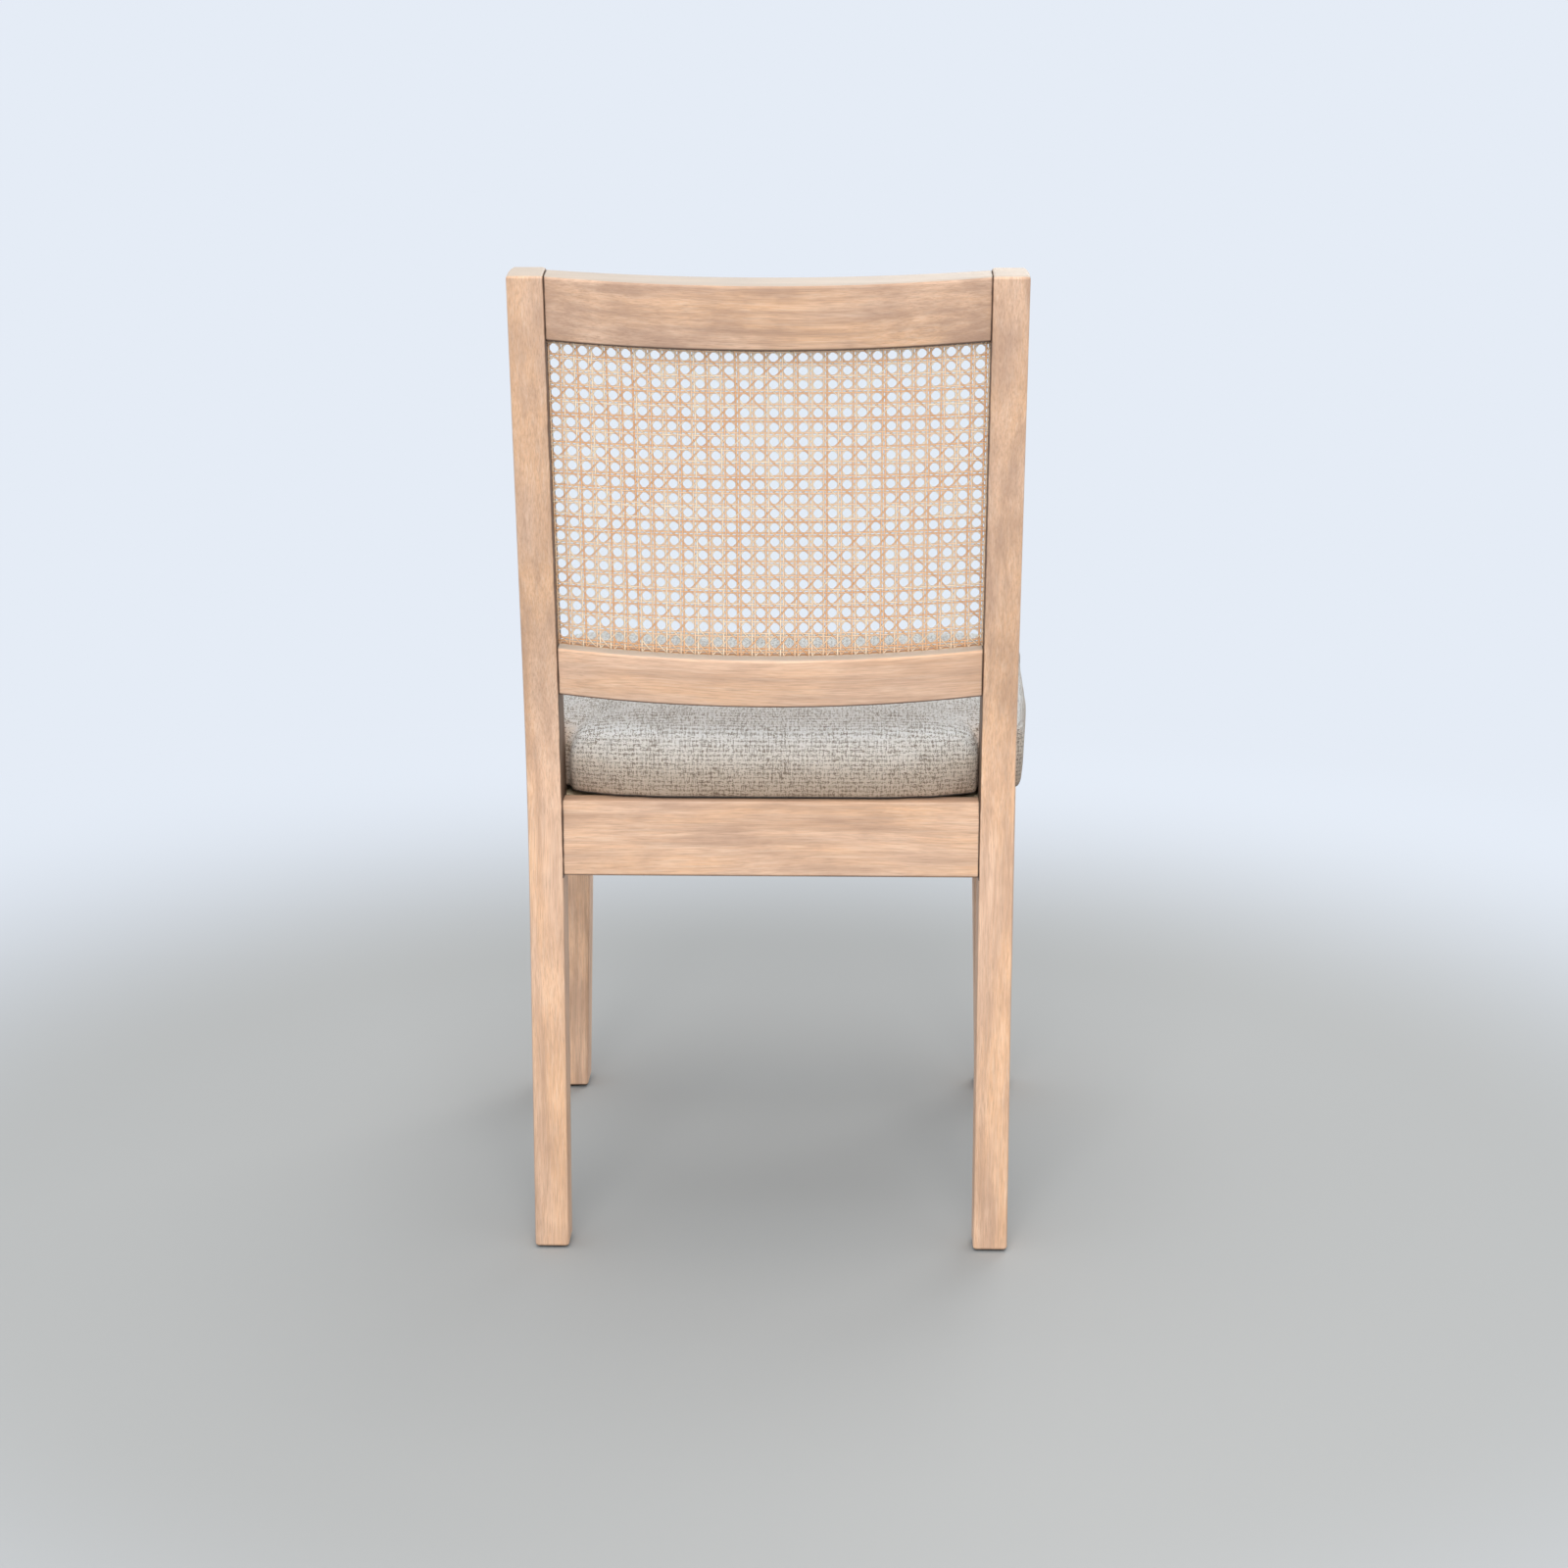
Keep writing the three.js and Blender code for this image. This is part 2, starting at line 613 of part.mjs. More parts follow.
// Upholstered cushion: drawn in at its foot, full above, crowned over the middle, hollow for the board
const cushionBottom = seatRailTop + 0.4;
function cushion() {
  const sideLevels = [
    [3, 0],
    [1.5, 12],
    [0.6, 26],
    [0, 40],
    [2.5, 53],
    [9, 62],
    [20, 67.5],
    [40, cushionShoulder],
  ];
  const rings = sideLevels.map(([inset, rise]) => seatRing(inset, cushionBottom + rise));
  const shoulder = rings.at(-1);
  [0.72, 0.42, 0.16].forEach((share) => {
    const rise = THREE.MathUtils.lerp(cushionHeight, cushionShoulder, share * share);
    rings.push(shoulder.map(({ x, y }) => new THREE.Vector3(
      x * share, seatCentreY + (y - seatCentreY) * share, cushionBottom + rise)));
  });
  const pocket = boardPrism(boardInset - fit, cushionBottom - past, boardBottom + boardThickness + fit);
  return cut(loft(rings), [pocket]);
}

// Plywood seat board with holes for the seat screws, and the dust cloth below it
const dustBottom = seatRailTop + fit;
const boardBottom = dustBottom + dustThickness + fit;
function boardPrism(inset, low, high) {
  return loft([seatRing(inset, low), seatRing(inset, high)]);
}

function seatBoard() {
  return cut(boardPrism(boardInset, boardBottom, boardBottom + boardThickness), seatScrewHoles());
}

function dustCloth() {
  return cut(boardPrism(dustInset, dustBottom, dustBottom + dustThickness), seatScrewHoles());
}

function seatScrewHoles() {
  return cornerBlocks.flatMap(({ seatScrew }) => [-1, 1].map((side) => {
    const hole = new THREE.CylinderGeometry(screwRadius + fit, screwRadius + fit, 20, 10);
    return hole.rotateX(Math.PI / 2).translate(side * seatScrew.x, seatScrew.y, seatScrewTop + fit - 10);
  }));
}

// Corner blocks: each touches a cross rail and a side rail and is notched round the leg or post
const blockTop = seatRailTop - blockDrop;
const blockBottom = blockTop - blockHeight;
const screwHeight = (blockTop + blockBottom) / 2;
const seatScrewTop = boardBottom + boardThickness - 3;
const seatScrewSeat = blockBottom + counterboreDepth;
const seatScrewLength = seatScrewTop - seatScrewSeat - fit;
const cornerBlocks = [
  {
    name: 'rear',
    railFaceY: rearRailFrontY,
    inward: -1,
    notchX: halfOpening - blockNotch,
    notchY: sideRailRearY - blockNotch,
  },
  {
    name: 'front',
    railFaceY: frontRailBackY,
    inward: 1,
    notchX: frontWidth / 2 - frontLegTop.width - blockNotch,
    notchY: sideRailFrontY + blockNotch,
  },
].map((place) => {
  const touchY = place.railFaceY + place.inward * fit;
  const farY = place.notchY + place.inward * blockReach;
  const innerX = (y) => sideRailX(y, seatRailThickness) - 2 * fit;
  return {
    ...place,
    touchY,
    plan: [
      [place.notchX - blockReach, touchY],
      [place.notchX, touchY],
      [place.notchX, place.notchY],
      [innerX(place.notchY), place.notchY],
      [innerX(farY), farY],
      [innerX(farY) - blockTip, farY],
    ],
    crossScrew: {
      x: place.notchX - crossScrewPlace.inset,
      seatY: touchY + place.inward * crossScrewPlace.depth,
    },
    sideScrew: {
      y: place.notchY + place.inward * sideScrewPlace.depth,
      seatX: innerX(place.notchY) - sideScrewPlace.inset,
    },
    seatScrew: {
      x: place.notchX - seatScrewPlace.inset,
      y: touchY + place.inward * seatScrewPlace.depth,
    },
  };
});

function cornerBlock({ plan, inward, crossScrew, sideScrew, seatScrew }) {
  const order = inward < 0 ? [...plan].reverse() : plan;
  const blank = board(order.map(([x, y]) => new THREE.Vector2(x, y)), blockHeight);
  blank.translate(0, 0, blockBottom);
  const bore = (radius) => new THREE.CylinderGeometry(radius, radius, 2 * farPast, 12);
  const [shank, wide] = [bore(screwRadius + fit), bore(counterbore)];
  return cut(blank, [
    shank.clone().translate(crossScrew.x, crossScrew.seatY, screwHeight),
    wide.clone().translate(crossScrew.x, crossScrew.seatY + inward * farPast, screwHeight),
    shank.clone().rotateZ(Math.PI / 2).translate(sideScrew.seatX, sideScrew.y, screwHeight),
    wide.clone().rotateZ(Math.PI / 2).translate(sideScrew.seatX - farPast, sideScrew.y, screwHeight),
    shank.clone().rotateX(Math.PI / 2).translate(seatScrew.x, seatScrew.y, screwHeight),
    wide.clone().rotateX(Math.PI / 2).translate(seatScrew.x, seatScrew.y, seatScrewSeat - farPast),
  ]);
}

// A screw that points along +Z, with its head's underside at the origin
function screw(length) {
  const profile = [
    [0, -screwHead.height],
    [screwHead.radius - 1, -screwHead.height],
    [screwHead.radius, -screwHead.height + 1.2],
    [screwHead.radius, 0],
    [screwRadius, 0],
    [screwRadius, length - 4],
    [0, length],
  ].map(([radius, z]) => new THREE.Vector2(radius, z));
  return new THREE.LatheGeometry(profile, 10).rotateX(Math.PI / 2);
}

// Pilot holes in a rail for the block screws
function pilot(x, y, alongX) {
  const hole = new THREE.CylinderGeometry(screwRadius + fit, screwRadius + fit, 2 * pilotDepth, 10);
  return (alongX ? hole.rotateZ(Math.PI / 2) : hole).translate(x, y, screwHeight);
}

// Assembly
const back = new THREE.Group();
back.position.set(0, kneeY, kneeHeight);
back.rotation.x = -rakeAngle;
chair.add(back);

const sides = { left: (geometry) => geometry.clone(), right: mirrored };

const post = rearPost();
const leg = frontLeg();
const rail = sideRail();
const railPilots = cornerBlocks.map(({ sideScrew }) =>
  pilot(sideRailX(sideScrew.y, seatRailThickness), sideScrew.y, true));
const drilledRail = cut(rail, railPilots);
const [rearBlock, frontBlock] = cornerBlocks;
const crossPilots = ({ crossScrew, railFaceY }) =>
  [-1, 1].map((side) => pilot(side * crossScrew.x, railFaceY, false));
const rearRail = cut(
  crossRail(railShoulder, [rearRailBackY, rearRailFrontY], rearRailTenonY), crossPilots(rearBlock));
const frontRailShoulder = frontWidth / 2 - frontLegTop.width - fit;
const frontRail = cut(
  crossRail(frontRailShoulder, [frontRailBackY, frontRailFrontY], frontRailTenonY), crossPilots(frontBlock));

for (const [side, place] of Object.entries(sides)) {
  addPiece(`rear_post_${side}`, place(post), 'wood');
  addPiece(`front_leg_${side}`, place(leg), 'wood');
  addPiece(`side_seat_rail_${side}`, place(drilledRail), 'wood');
  addPiece(`cane_spline_${side}`, place(postSpline()), 'reed', back);
}
addPiece('rear_seat_rail', rearRail, 'wood');
addPiece('front_seat_rail', frontRail, 'wood');
addPiece('crest_rail', backRail(crestRail), 'wood', back);
addPiece('lower_back_rail', backRail(lowerRail), 'wood', back);
addPiece('cane_panel', canePanel(), 'cane', back);
const topSpline = railSpline(crestRail, openingTop + 1, openingTop + caneTuck);
const bottomSpline = railSpline(lowerRail, openingBottom - caneTuck, openingBottom - 1);
addPiece('cane_spline_top', topSpline, 'reed', back);
addPiece('cane_spline_bottom', bottomSpline, 'reed', back);
addPiece('seat_cushion', cushion(), 'tweed');
addPiece('seat_board', seatBoard(), 'plywood');
addPiece('dust_cloth', dustCloth(), 'dustCloth');

for (const block of cornerBlocks) {
  const shape = cornerBlock(block);
  for (const [side, place] of Object.entries(sides)) {
    const across = side === 'left' ? 1 : -1;
    const { crossScrew, sideScrew, seatScrew, inward, name } = block;
    addPiece(`corner_block_${name}_${side}`, place(shape), 'block');
    const crossName = `block_screw_${name}_${side}_cross`;
    const intoCrossRail = addPiece(crossName, screw(crossScrewPlace.length), 'zinc');
    intoCrossRail.position.set(across * crossScrew.x, crossScrew.seatY + inward * fit, screwHeight);
    intoCrossRail.rotation.x = inward * (Math.PI / 2);
    const sideName = `block_screw_${name}_${side}_side`;
    const intoSideRail = addPiece(sideName, screw(sideScrewPlace.length), 'zinc');
    intoSideRail.position.set(across * (sideScrew.seatX - fit), sideScrew.y, screwHeight);
    intoSideRail.rotation.y = across * (Math.PI / 2);
    const intoBoard = addPiece(`seat_screw_${name}_${side}`, screw(seatScrewLength), 'zinc');
    intoBoard.position.set(across * seatScrew.x, seatScrew.y, seatScrewSeat - fit);
  }
}

for (const [side, across] of [['left', 1], ['right', -1]]) {
  addPiece(`glide_rear_${side}`, glide(), 'nylon').position.set(across * rearGlide.x, rearGlide.y, 0);
  addPiece(`glide_front_${side}`, glide(), 'nylon').position.set(across * frontGlide.x, frontGlide.y, 0);
}

export default chair;
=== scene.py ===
"""Looks of the cane back chair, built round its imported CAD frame.

Lengths are in metres in the part's own frame: +Z up, the sitter faces -Y, and +X is at the sitter's left.
Places in the raked back are given as x, n and v: n points out of the chair's back and v runs up the posts.
A pattern's pitch is its number of features per metre, or those along and across the grain. Numbers given to
remap and mix are levels of a pattern from 0 to 1, and shares of a colour.
"""

import logging
import math
from dataclasses import dataclass, field
from enum import Enum

import bmesh
import bpy
import numpy as np
from mathutils import Matrix, Vector, kdtree


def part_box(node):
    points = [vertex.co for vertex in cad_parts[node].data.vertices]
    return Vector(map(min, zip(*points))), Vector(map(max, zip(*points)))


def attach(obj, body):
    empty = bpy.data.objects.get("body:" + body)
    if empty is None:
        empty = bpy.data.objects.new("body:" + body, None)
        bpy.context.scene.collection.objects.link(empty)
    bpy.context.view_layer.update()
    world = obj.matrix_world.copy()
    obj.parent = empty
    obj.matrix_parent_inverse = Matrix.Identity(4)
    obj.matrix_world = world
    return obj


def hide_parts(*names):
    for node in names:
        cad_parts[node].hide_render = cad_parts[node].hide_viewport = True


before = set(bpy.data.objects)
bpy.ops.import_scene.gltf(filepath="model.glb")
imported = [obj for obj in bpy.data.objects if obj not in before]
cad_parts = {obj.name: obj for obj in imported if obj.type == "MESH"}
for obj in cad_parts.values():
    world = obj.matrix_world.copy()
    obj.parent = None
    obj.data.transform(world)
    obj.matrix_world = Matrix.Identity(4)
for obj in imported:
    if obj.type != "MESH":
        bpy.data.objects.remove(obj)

log = logging.getLogger("chair")
BODY = "root"
MM = 0.001
FOOT_Y = 198.85 * MM
Triple = tuple[float, float, float]


def tint(red: int, green: int, blue: int) -> tuple[float, float, float, float]:
    """Turn an 8-bit display colour into scene-linear RGBA.

    Args:
        red: Red from 0 to 255.
        green: Green from 0 to 255.
        blue: Blue from 0 to 255.

    Returns:
        The colour.
    """

    def channel(value: float) -> float:
        """Linear value of one channel."""
        return value / 12.92 if value <= 0.04045 else ((value + 0.055) / 1.055) ** 2.4

    return (channel(red / 255), channel(green / 255), channel(blue / 255), 1.0)


class Term:
    """A node's output, so that sums of outputs read as formulas."""

    def __init__(self, graph: "Graph", socket: bpy.types.NodeSocket) -> None:
        """Keep the graph and the output."""
        self.graph, self.socket = graph, socket

    def __add__(self, other: object) -> "Term":
        """This plus another."""
        return self.graph.math("ADD", self, other)

    def __sub__(self, other: object) -> "Term":
        """This minus another."""
        return self.graph.math("SUBTRACT", self, other)

    def __rsub__(self, number: float) -> "Term":
        """A number minus this."""
        return self.graph.math("SUBTRACT", number, self)

    def __mul__(self, other: object) -> "Term":
        """This times another."""
        return self.graph.math("MULTIPLY", self, other)

    def __truediv__(self, other: object) -> "Term":
        """This divided by another."""
        return self.graph.math("DIVIDE", self, other)

    def __pow__(self, power: float) -> "Term":
        """This raised to a power."""
        return self.graph.math("POWER", self, power)

    def __abs__(self) -> "Term":
        """This without its sign."""
        return self.graph.math("ABSOLUTE", self)


class Graph:
    """Adds nodes to one tree and feeds their inputs."""

    def __init__(self, tree: bpy.types.NodeTree) -> None:
        """Keep the tree that the nodes go to."""
        self.tree = tree

    def feed(self, socket: bpy.types.NodeSocket, value: object) -> None:
        """Link an input to a term, or set its value.

        Args:
            socket: The input to feed.
            value: A term to link from, or a plain value.
        """
        if isinstance(value, Term):
            self.tree.links.new(value.socket, socket)
        else:
            socket.default_value = value

    def add(self, kind: str, inputs: dict | None = None, **settings: object) -> bpy.types.Node:
        """Add a node.

        Args:
            kind: Blender's name of the node type.
            inputs: Values or terms by input name or index.
            **settings: Properties of the node.

        Returns:
            The new node.
        """
        node = self.tree.nodes.new(kind)
        for name, value in settings.items():
            setattr(node, name, value)
        for key, value in (inputs or {}).items():
            self.feed(node.inputs[key], value)
        return node

    def take(self, kind: str, inputs: dict | None = None, output: int | str = 0, **settings: object) -> Term:
        """Add a node, as add does, and take the output of that index or name."""
        return Term(self, self.add(kind, inputs, **settings).outputs[output])

    def math(self, operation: str, *values: object) -> Term:
        """Work out one operation of the Math node."""
        return self.take("ShaderNodeMath", dict(enumerate(values)), operation=operation)

    def vector(self, operation: str, first: object, second: object) -> Term:
        """Work out one operation on two vectors."""
        return self.take("ShaderNodeVectorMath", {0: first, 1: second}, operation=operation)

    def scale(self, vector: Term, factor: object) -> Term:
        """Multiply a vector or colour by a number."""
        return self.take("ShaderNodeVectorMath", {0: vector, 3: factor}, operation="SCALE")

    def split(self, vector: Term) -> tuple[Term, Term, Term]:
        """Take a vector's three parts."""
        return tuple(Term(self, part) for part in self.add("ShaderNodeSeparateXYZ", {0: vector}).outputs)

    def join(self, x: object = 0.0, y: object = 0.0, z: object = 0.0) -> Term:
        """Make a vector of three parts."""
        return self.take("ShaderNodeCombineXYZ", {0: x, 1: y, 2: z})

    def choose(self, factor: Term, first: Term, second: Term) -> Term:
        """Mix two numbers, with the factor as the share of the second."""
        return self.take("ShaderNodeMix", {0: factor, 2: first, 3: second}, data_type="FLOAT")

    def mix(self, factor: object, first: object, second: object, blend: str = "MIX") -> Term:
        """Mix two colours, with the factor as the share of the second."""
        inputs = {0: factor, 6: first, 7: second}
        return self.take("ShaderNodeMix", inputs, 2, data_type="RGBA", blend_type=blend)

    def remap(self, value: object, low: float, high: float, to_low: float = 0.0, to_high: float = 1.0,
              ease: str = "LINEAR") -> Term:
        """Map the range from low to high onto another and clamp it, with the named easing."""
        inputs = {0: value, 1: low, 2: high, 3: to_low, 4: to_high}
        return self.take("ShaderNodeMapRange", inputs, interpolation_type=ease)

    def stretch(self, vector: object, scale: Triple, location: Triple = (0, 0, 0),
                rotation: Triple = (0, 0, 0)) -> Term:
        """Scale a vector on each axis, then turn it by radians and move it, with a Mapping node."""
        inputs = {"Vector": vector, "Location": location, "Rotation": rotation, "Scale": scale}
        return self.take("ShaderNodeMapping", inputs)

    def store(self, geometry: Term, name: str, value: Term, domain: str) -> Term:
        """Store a number as a named attribute of the geometry in that domain."""
        inputs = {"Geometry": geometry, "Name": name, "Value": value}
        return self.take("GeometryNodeStoreNamedAttribute", inputs, data_type="FLOAT", domain=domain)

    def noise(self, vector: object, pitch: float | Triple, detail: float = 2.0, roughness: float = 0.5,
              shift: Triple = (0, 0, 0), output: str = "Fac") -> Term:
        """Add a noise texture.

        Args:
            vector: Where it is read.
            pitch: Features per metre, or those along each axis.
            detail: Octaves.
            roughness: Share of the finer octaves.
            shift: Move of the pattern, where the pitch has three numbers.
            output: "Fac" or "Color".

        Returns:
            The chosen output.
        """
        if isinstance(pitch, tuple):
            vector, pitch = self.stretch(vector, pitch, shift), 1.0
        inputs = {"Vector": vector, "Scale": pitch, "Detail": detail, "Roughness": roughness}
        return self.take("ShaderNodeTexNoise", inputs, output)

    def sway(self, vector: Term, pitch: float | Triple, reach: Triple) -> Term:
        """Move a vector to and fro by noise of that pitch, each axis over its reach in all."""
        noise = self.vector("SUBTRACT", self.noise(vector, pitch, output="Color"), (0.5, 0.5, 0.5))
        return self.vector("ADD", vector, self.stretch(noise, reach))


class Finish:
    """A material under construction: its graph, its shader and its object coordinates."""

    def __init__(self, name: str) -> None:
        """Start an empty principled material.

        Args:
            name: Name of the material.
        """
        self.material = bpy.data.materials.new(name)
        self.material.use_nodes = True
        self.material.node_tree.nodes.clear()
        self.graph = Graph(self.material.node_tree)
        self.shader = self.graph.add("ShaderNodeBsdfPrincipled")
        self.output = self.graph.add("ShaderNodeOutputMaterial")
        self.surface = Term(self.graph, self.shader.outputs[0])
        self.graph.feed(self.output.inputs["Surface"], self.surface)
        source = self.graph.add("ShaderNodeTexCoord").outputs
        self.place, self.normal = Term(self.graph, source["Object"]), Term(self.graph, source["Normal"])

    def set(self, **values: object) -> None:
        """Feed the shader's inputs, named with underscores for blanks."""
        for name, value in values.items():
            self.graph.feed(self.shader.inputs[name.replace("_", " ")], value)

    def bump(self, height: Term, distance: float, strength: float) -> bpy.types.Material:
        """Raise the surface, as the last touch.

        Args:
            height: The height from 0 to 1.
            distance: Height of 1 in metres.
            strength: Share of the effect.

        Returns:
            The finished material.
        """
        inputs = {"Height": height, "Distance": distance, "Strength": strength}
        self.set(Normal=self.graph.take("ShaderNodeBump", inputs))
        return self.material


class Grain(Enum):
    """Axis that a wooden member's grain follows, as the turn that brings it to the pattern's X."""

    ACROSS = (0.0, 0.0, 0.0)
    DEEP = (0.0, 0.0, -math.pi / 2)
    UPRIGHT = (0.0, math.pi / 2, 0.0)


@dataclass(frozen=True)
class Member:
    """One show-wood member and the look of its board.

    Attributes:
        node: Name of its CAD node.
        grain: The way its grain runs.
        tone: How grey the glaze leaves it, from 0 to 1.
        figure: Strength of the growth rings' broad figure.
        joint: Distance of its joints from the chair's middle plane.
        foot: Height below which it has no joint.
        bow: Depth of the member's curve, which its grain follows.
        gain: How much paler than the rest this member is painted, partly its own tone and partly painted
            light on members the lamps leave too dark.
    """

    node: str
    grain: Grain
    tone: float
    figure: float
    joint: float
    foot: float = 0.0
    bow: float = 0.0
    gain: float = 1.0


@dataclass(frozen=True)
class WhitewashedWood:
    """Open-grained hardwood under a pale, slightly pink whitewash with grey-brown glaze left in its grain."""

    body: tuple = tint(233, 192, 161)
    warm: tuple = tint(240, 191, 149)
    pale: tuple = tint(246, 214, 186)
    glaze: tuple = tint(178, 142, 119)
    pore: tuple = tint(148, 115, 92)
    top_reflection: tuple = tint(186, 178, 166)
    glaze_and_shade_dark: tuple = tint(52, 36, 27)
    fibre_pitch: Triple = (14, 480, 480)
    hair_pitch: Triple = (36, 1150, 1150)
    streak_pitch: Triple = (5, 95, 95)
    patch_pitch: Triple = (5, 36, 36)
    cloud_pitch: Triple = (15, 34, 34)
    pore_pitch: Triple = (70, 1500, 1500)
    sway_pitch: Triple = (1.9, 6, 6)
    sway: Triple = (0, 30 * MM, 30 * MM)
    ring_slant: Triple = (0.28, 1, 1)
    ring_centre: Triple = (0, 41 * MM, 83 * MM)
    ring_radians: float = 820.0
    drift_pitch: Triple = (2.4, 14, 14)
    drift: float = 9.0
    seat_top: float = 0.5
    seam: tuple[float, float] = (1.3 * MM, 0.4 * MM)
    seam_rag: float = 1.4 * MM

    def material(self, member: Member, seed: int) -> bpy.types.Material:
        """Make the material of one member.

        Args:
            member: The member and its look.
            seed: Number that moves the pattern to another part of the tree.

        Returns:
            The material.
        """
        finish = Finish(f"whitewash_{member.node}")
        graph, tone = finish.graph, member.tone
        x, y, z = graph.split(finish.place)
        bent = (x / member.joint) ** 2.0 * member.bow
        shift = (0.37 * seed, 0.11 * seed + 0.023, 0.07 * seed + 0.051)
        along = graph.stretch(graph.join(x, y + bent, z), (1, 1, 1), shift, member.grain.value)
        board = graph.sway(along, self.sway_pitch, self.sway)
        fibre = graph.noise(board, self.fibre_pitch, 3, 0.6)
        hair = graph.noise(board, self.hair_pitch, 2, 0.6, (0.2, 0.1, 0))
        streak = graph.noise(board, self.streak_pitch, 4, 0.6)
        patch = graph.noise(board, self.patch_pitch, 3, 0.55)
        cloud = graph.noise(board, self.cloud_pitch, 4, 0.6, (1.3, 0, 0))
        pores = graph.noise(board, self.pore_pitch, 1, 0.5)
        colour = self.body
        for pattern, low, high, share, wash in (
                (patch, 0.4, 0.64, 0.9, self.warm),
                (fibre, 0.5, 0.7, 0.45, self.pale),
                (hair, 0.5, 0.68, 0.4, self.pale),
                (hair, 0.5, 0.34, 0.36, self.glaze),
                (streak, 0.48 - 0.07 * tone, 0.7 - 0.07 * tone, 0.52 + 0.1 * tone, self.glaze),
                (cloud, 0.44, 0.66, 0.28 + 0.5 * tone, self.glaze)):
            colour = graph.mix(graph.remap(pattern, low, high, 0, share), colour, wash)
        colour = graph.mix(self.rings(graph, board) * member.figure, colour, self.glaze)
        open_pore = graph.remap(pores, 0.6, 0.74, 0, 0.22)
        # The gain paints a member paler: partly its own tone, partly painted light.
        colour = graph.scale(graph.mix(open_pore, colour, self.pore), member.gain)
        rough = graph.remap(fibre, 0.3, 0.7, 0.58, 0.46)
        finish.set(Base_Color=self.paint_reflection_and_shade(finish, colour, member), Roughness=rough, Specular_IOR_Level=0.45)
        return finish.bump(fibre * 0.6 - open_pore, 0.35 * MM, 0.5)

    def paint_reflection_and_shade(self, finish: Finish, colour: Term, member: Member) -> Term:
        """Paint a paler, greyer reflection on what faces up, and painted shade with dark glaze in the joints
        and on what faces down.

        Args:
            finish: The finish that it is part of.
            colour: Colour of the plain face.
            member: The member, for its joints.

        Returns:
            The new colour.
        """
        graph = finish.graph
        up = graph.split(finish.normal)[2]
        x, _, z = graph.split(finish.place)
        above = graph.math("GREATER_THAN", z, self.seat_top)
        # Painted reflection of the pale surroundings on what faces up above the seat.
        colour = graph.mix(graph.remap(up, 0.5, 0.92, 0, 0.8) * above, colour, self.top_reflection)
        # Painted shade on what faces down.
        colour = graph.mix(graph.remap(up, -0.08, -0.45, 0, 0.9), colour, self.glaze_and_shade_dark)
        # Dark glaze along the joints, deepened as painted shade where the members meet.
        rag = graph.noise(finish.place, (60, 60, 60), 3, 0.6)
        near = abs(abs(x) - member.joint) + (rag - 0.5) * self.seam_rag
        jointed = graph.math("GREATER_THAN", z, member.foot)
        return graph.mix(graph.remap(near, *self.seam, 0, 0.8) * jointed, colour, self.glaze_and_shade_dark)

    def rings(self, graph: Graph, board: Term) -> Term:
        """Dark lines where growth rings meet the face.

        Args:
            graph: Graph to add to.
            board: Coordinates with the grain along X.

        Returns:
            1 on the lines and 0 between them.
        """
        _, wide, deep = graph.split(graph.stretch(board, self.ring_slant, self.ring_centre))
        radius = graph.math("SQRT", wide ** 2.0 + deep ** 2.0)
        phase = radius * self.ring_radians + graph.noise(board, self.drift_pitch) * self.drift
        return (graph.math("SINE", phase) * 0.5 + 0.5) ** 3.0


@dataclass(frozen=True)
class SplitCane:
    """Glossy-barked strands of split cane, each with a tone of its own, with painted shade along their edges.
    """

    light: tuple = tint(255, 238, 210)
    dark: tuple = tint(234, 174, 122)
    painted_edge_shade: tuple = tint(96, 62, 38)

    def material(self, name: str, tone: str, side: str) -> bpy.types.Material:
        """Make the material.

        Args:
            name: Name of the material.
            tone: Name of the mesh attribute that gives each strand its tone.
            side: Name of the one that is 1 along a strand's edges.

        Returns:
            The material.
        """
        finish = Finish(name)
        graph = finish.graph
        strand = graph.take("ShaderNodeAttribute", output="Fac", attribute_name=tone)
        flank = graph.take("ShaderNodeAttribute", output="Fac", attribute_name=side)
        mottle = graph.noise(finish.place, 130.0, 3, 0.6)
        colour = graph.mix(graph.remap(strand * 0.6 + mottle * 0.5, 0.15, 0.9), self.light, self.dark)
        # Painted shade darkens each strand's edges round the holes.
        colour = graph.mix(graph.remap(flank, 0.5, 1.0, 0, 0.95), colour, self.painted_edge_shade)
        rough = graph.remap(mottle, 0.3, 0.7, 0.42, 0.3)
        finish.set(Base_Color=colour, Roughness=rough, Specular_IOR_Level=0.5)
        return finish.bump(graph.noise(finish.place, 900.0), 0.1 * MM, 0.4)


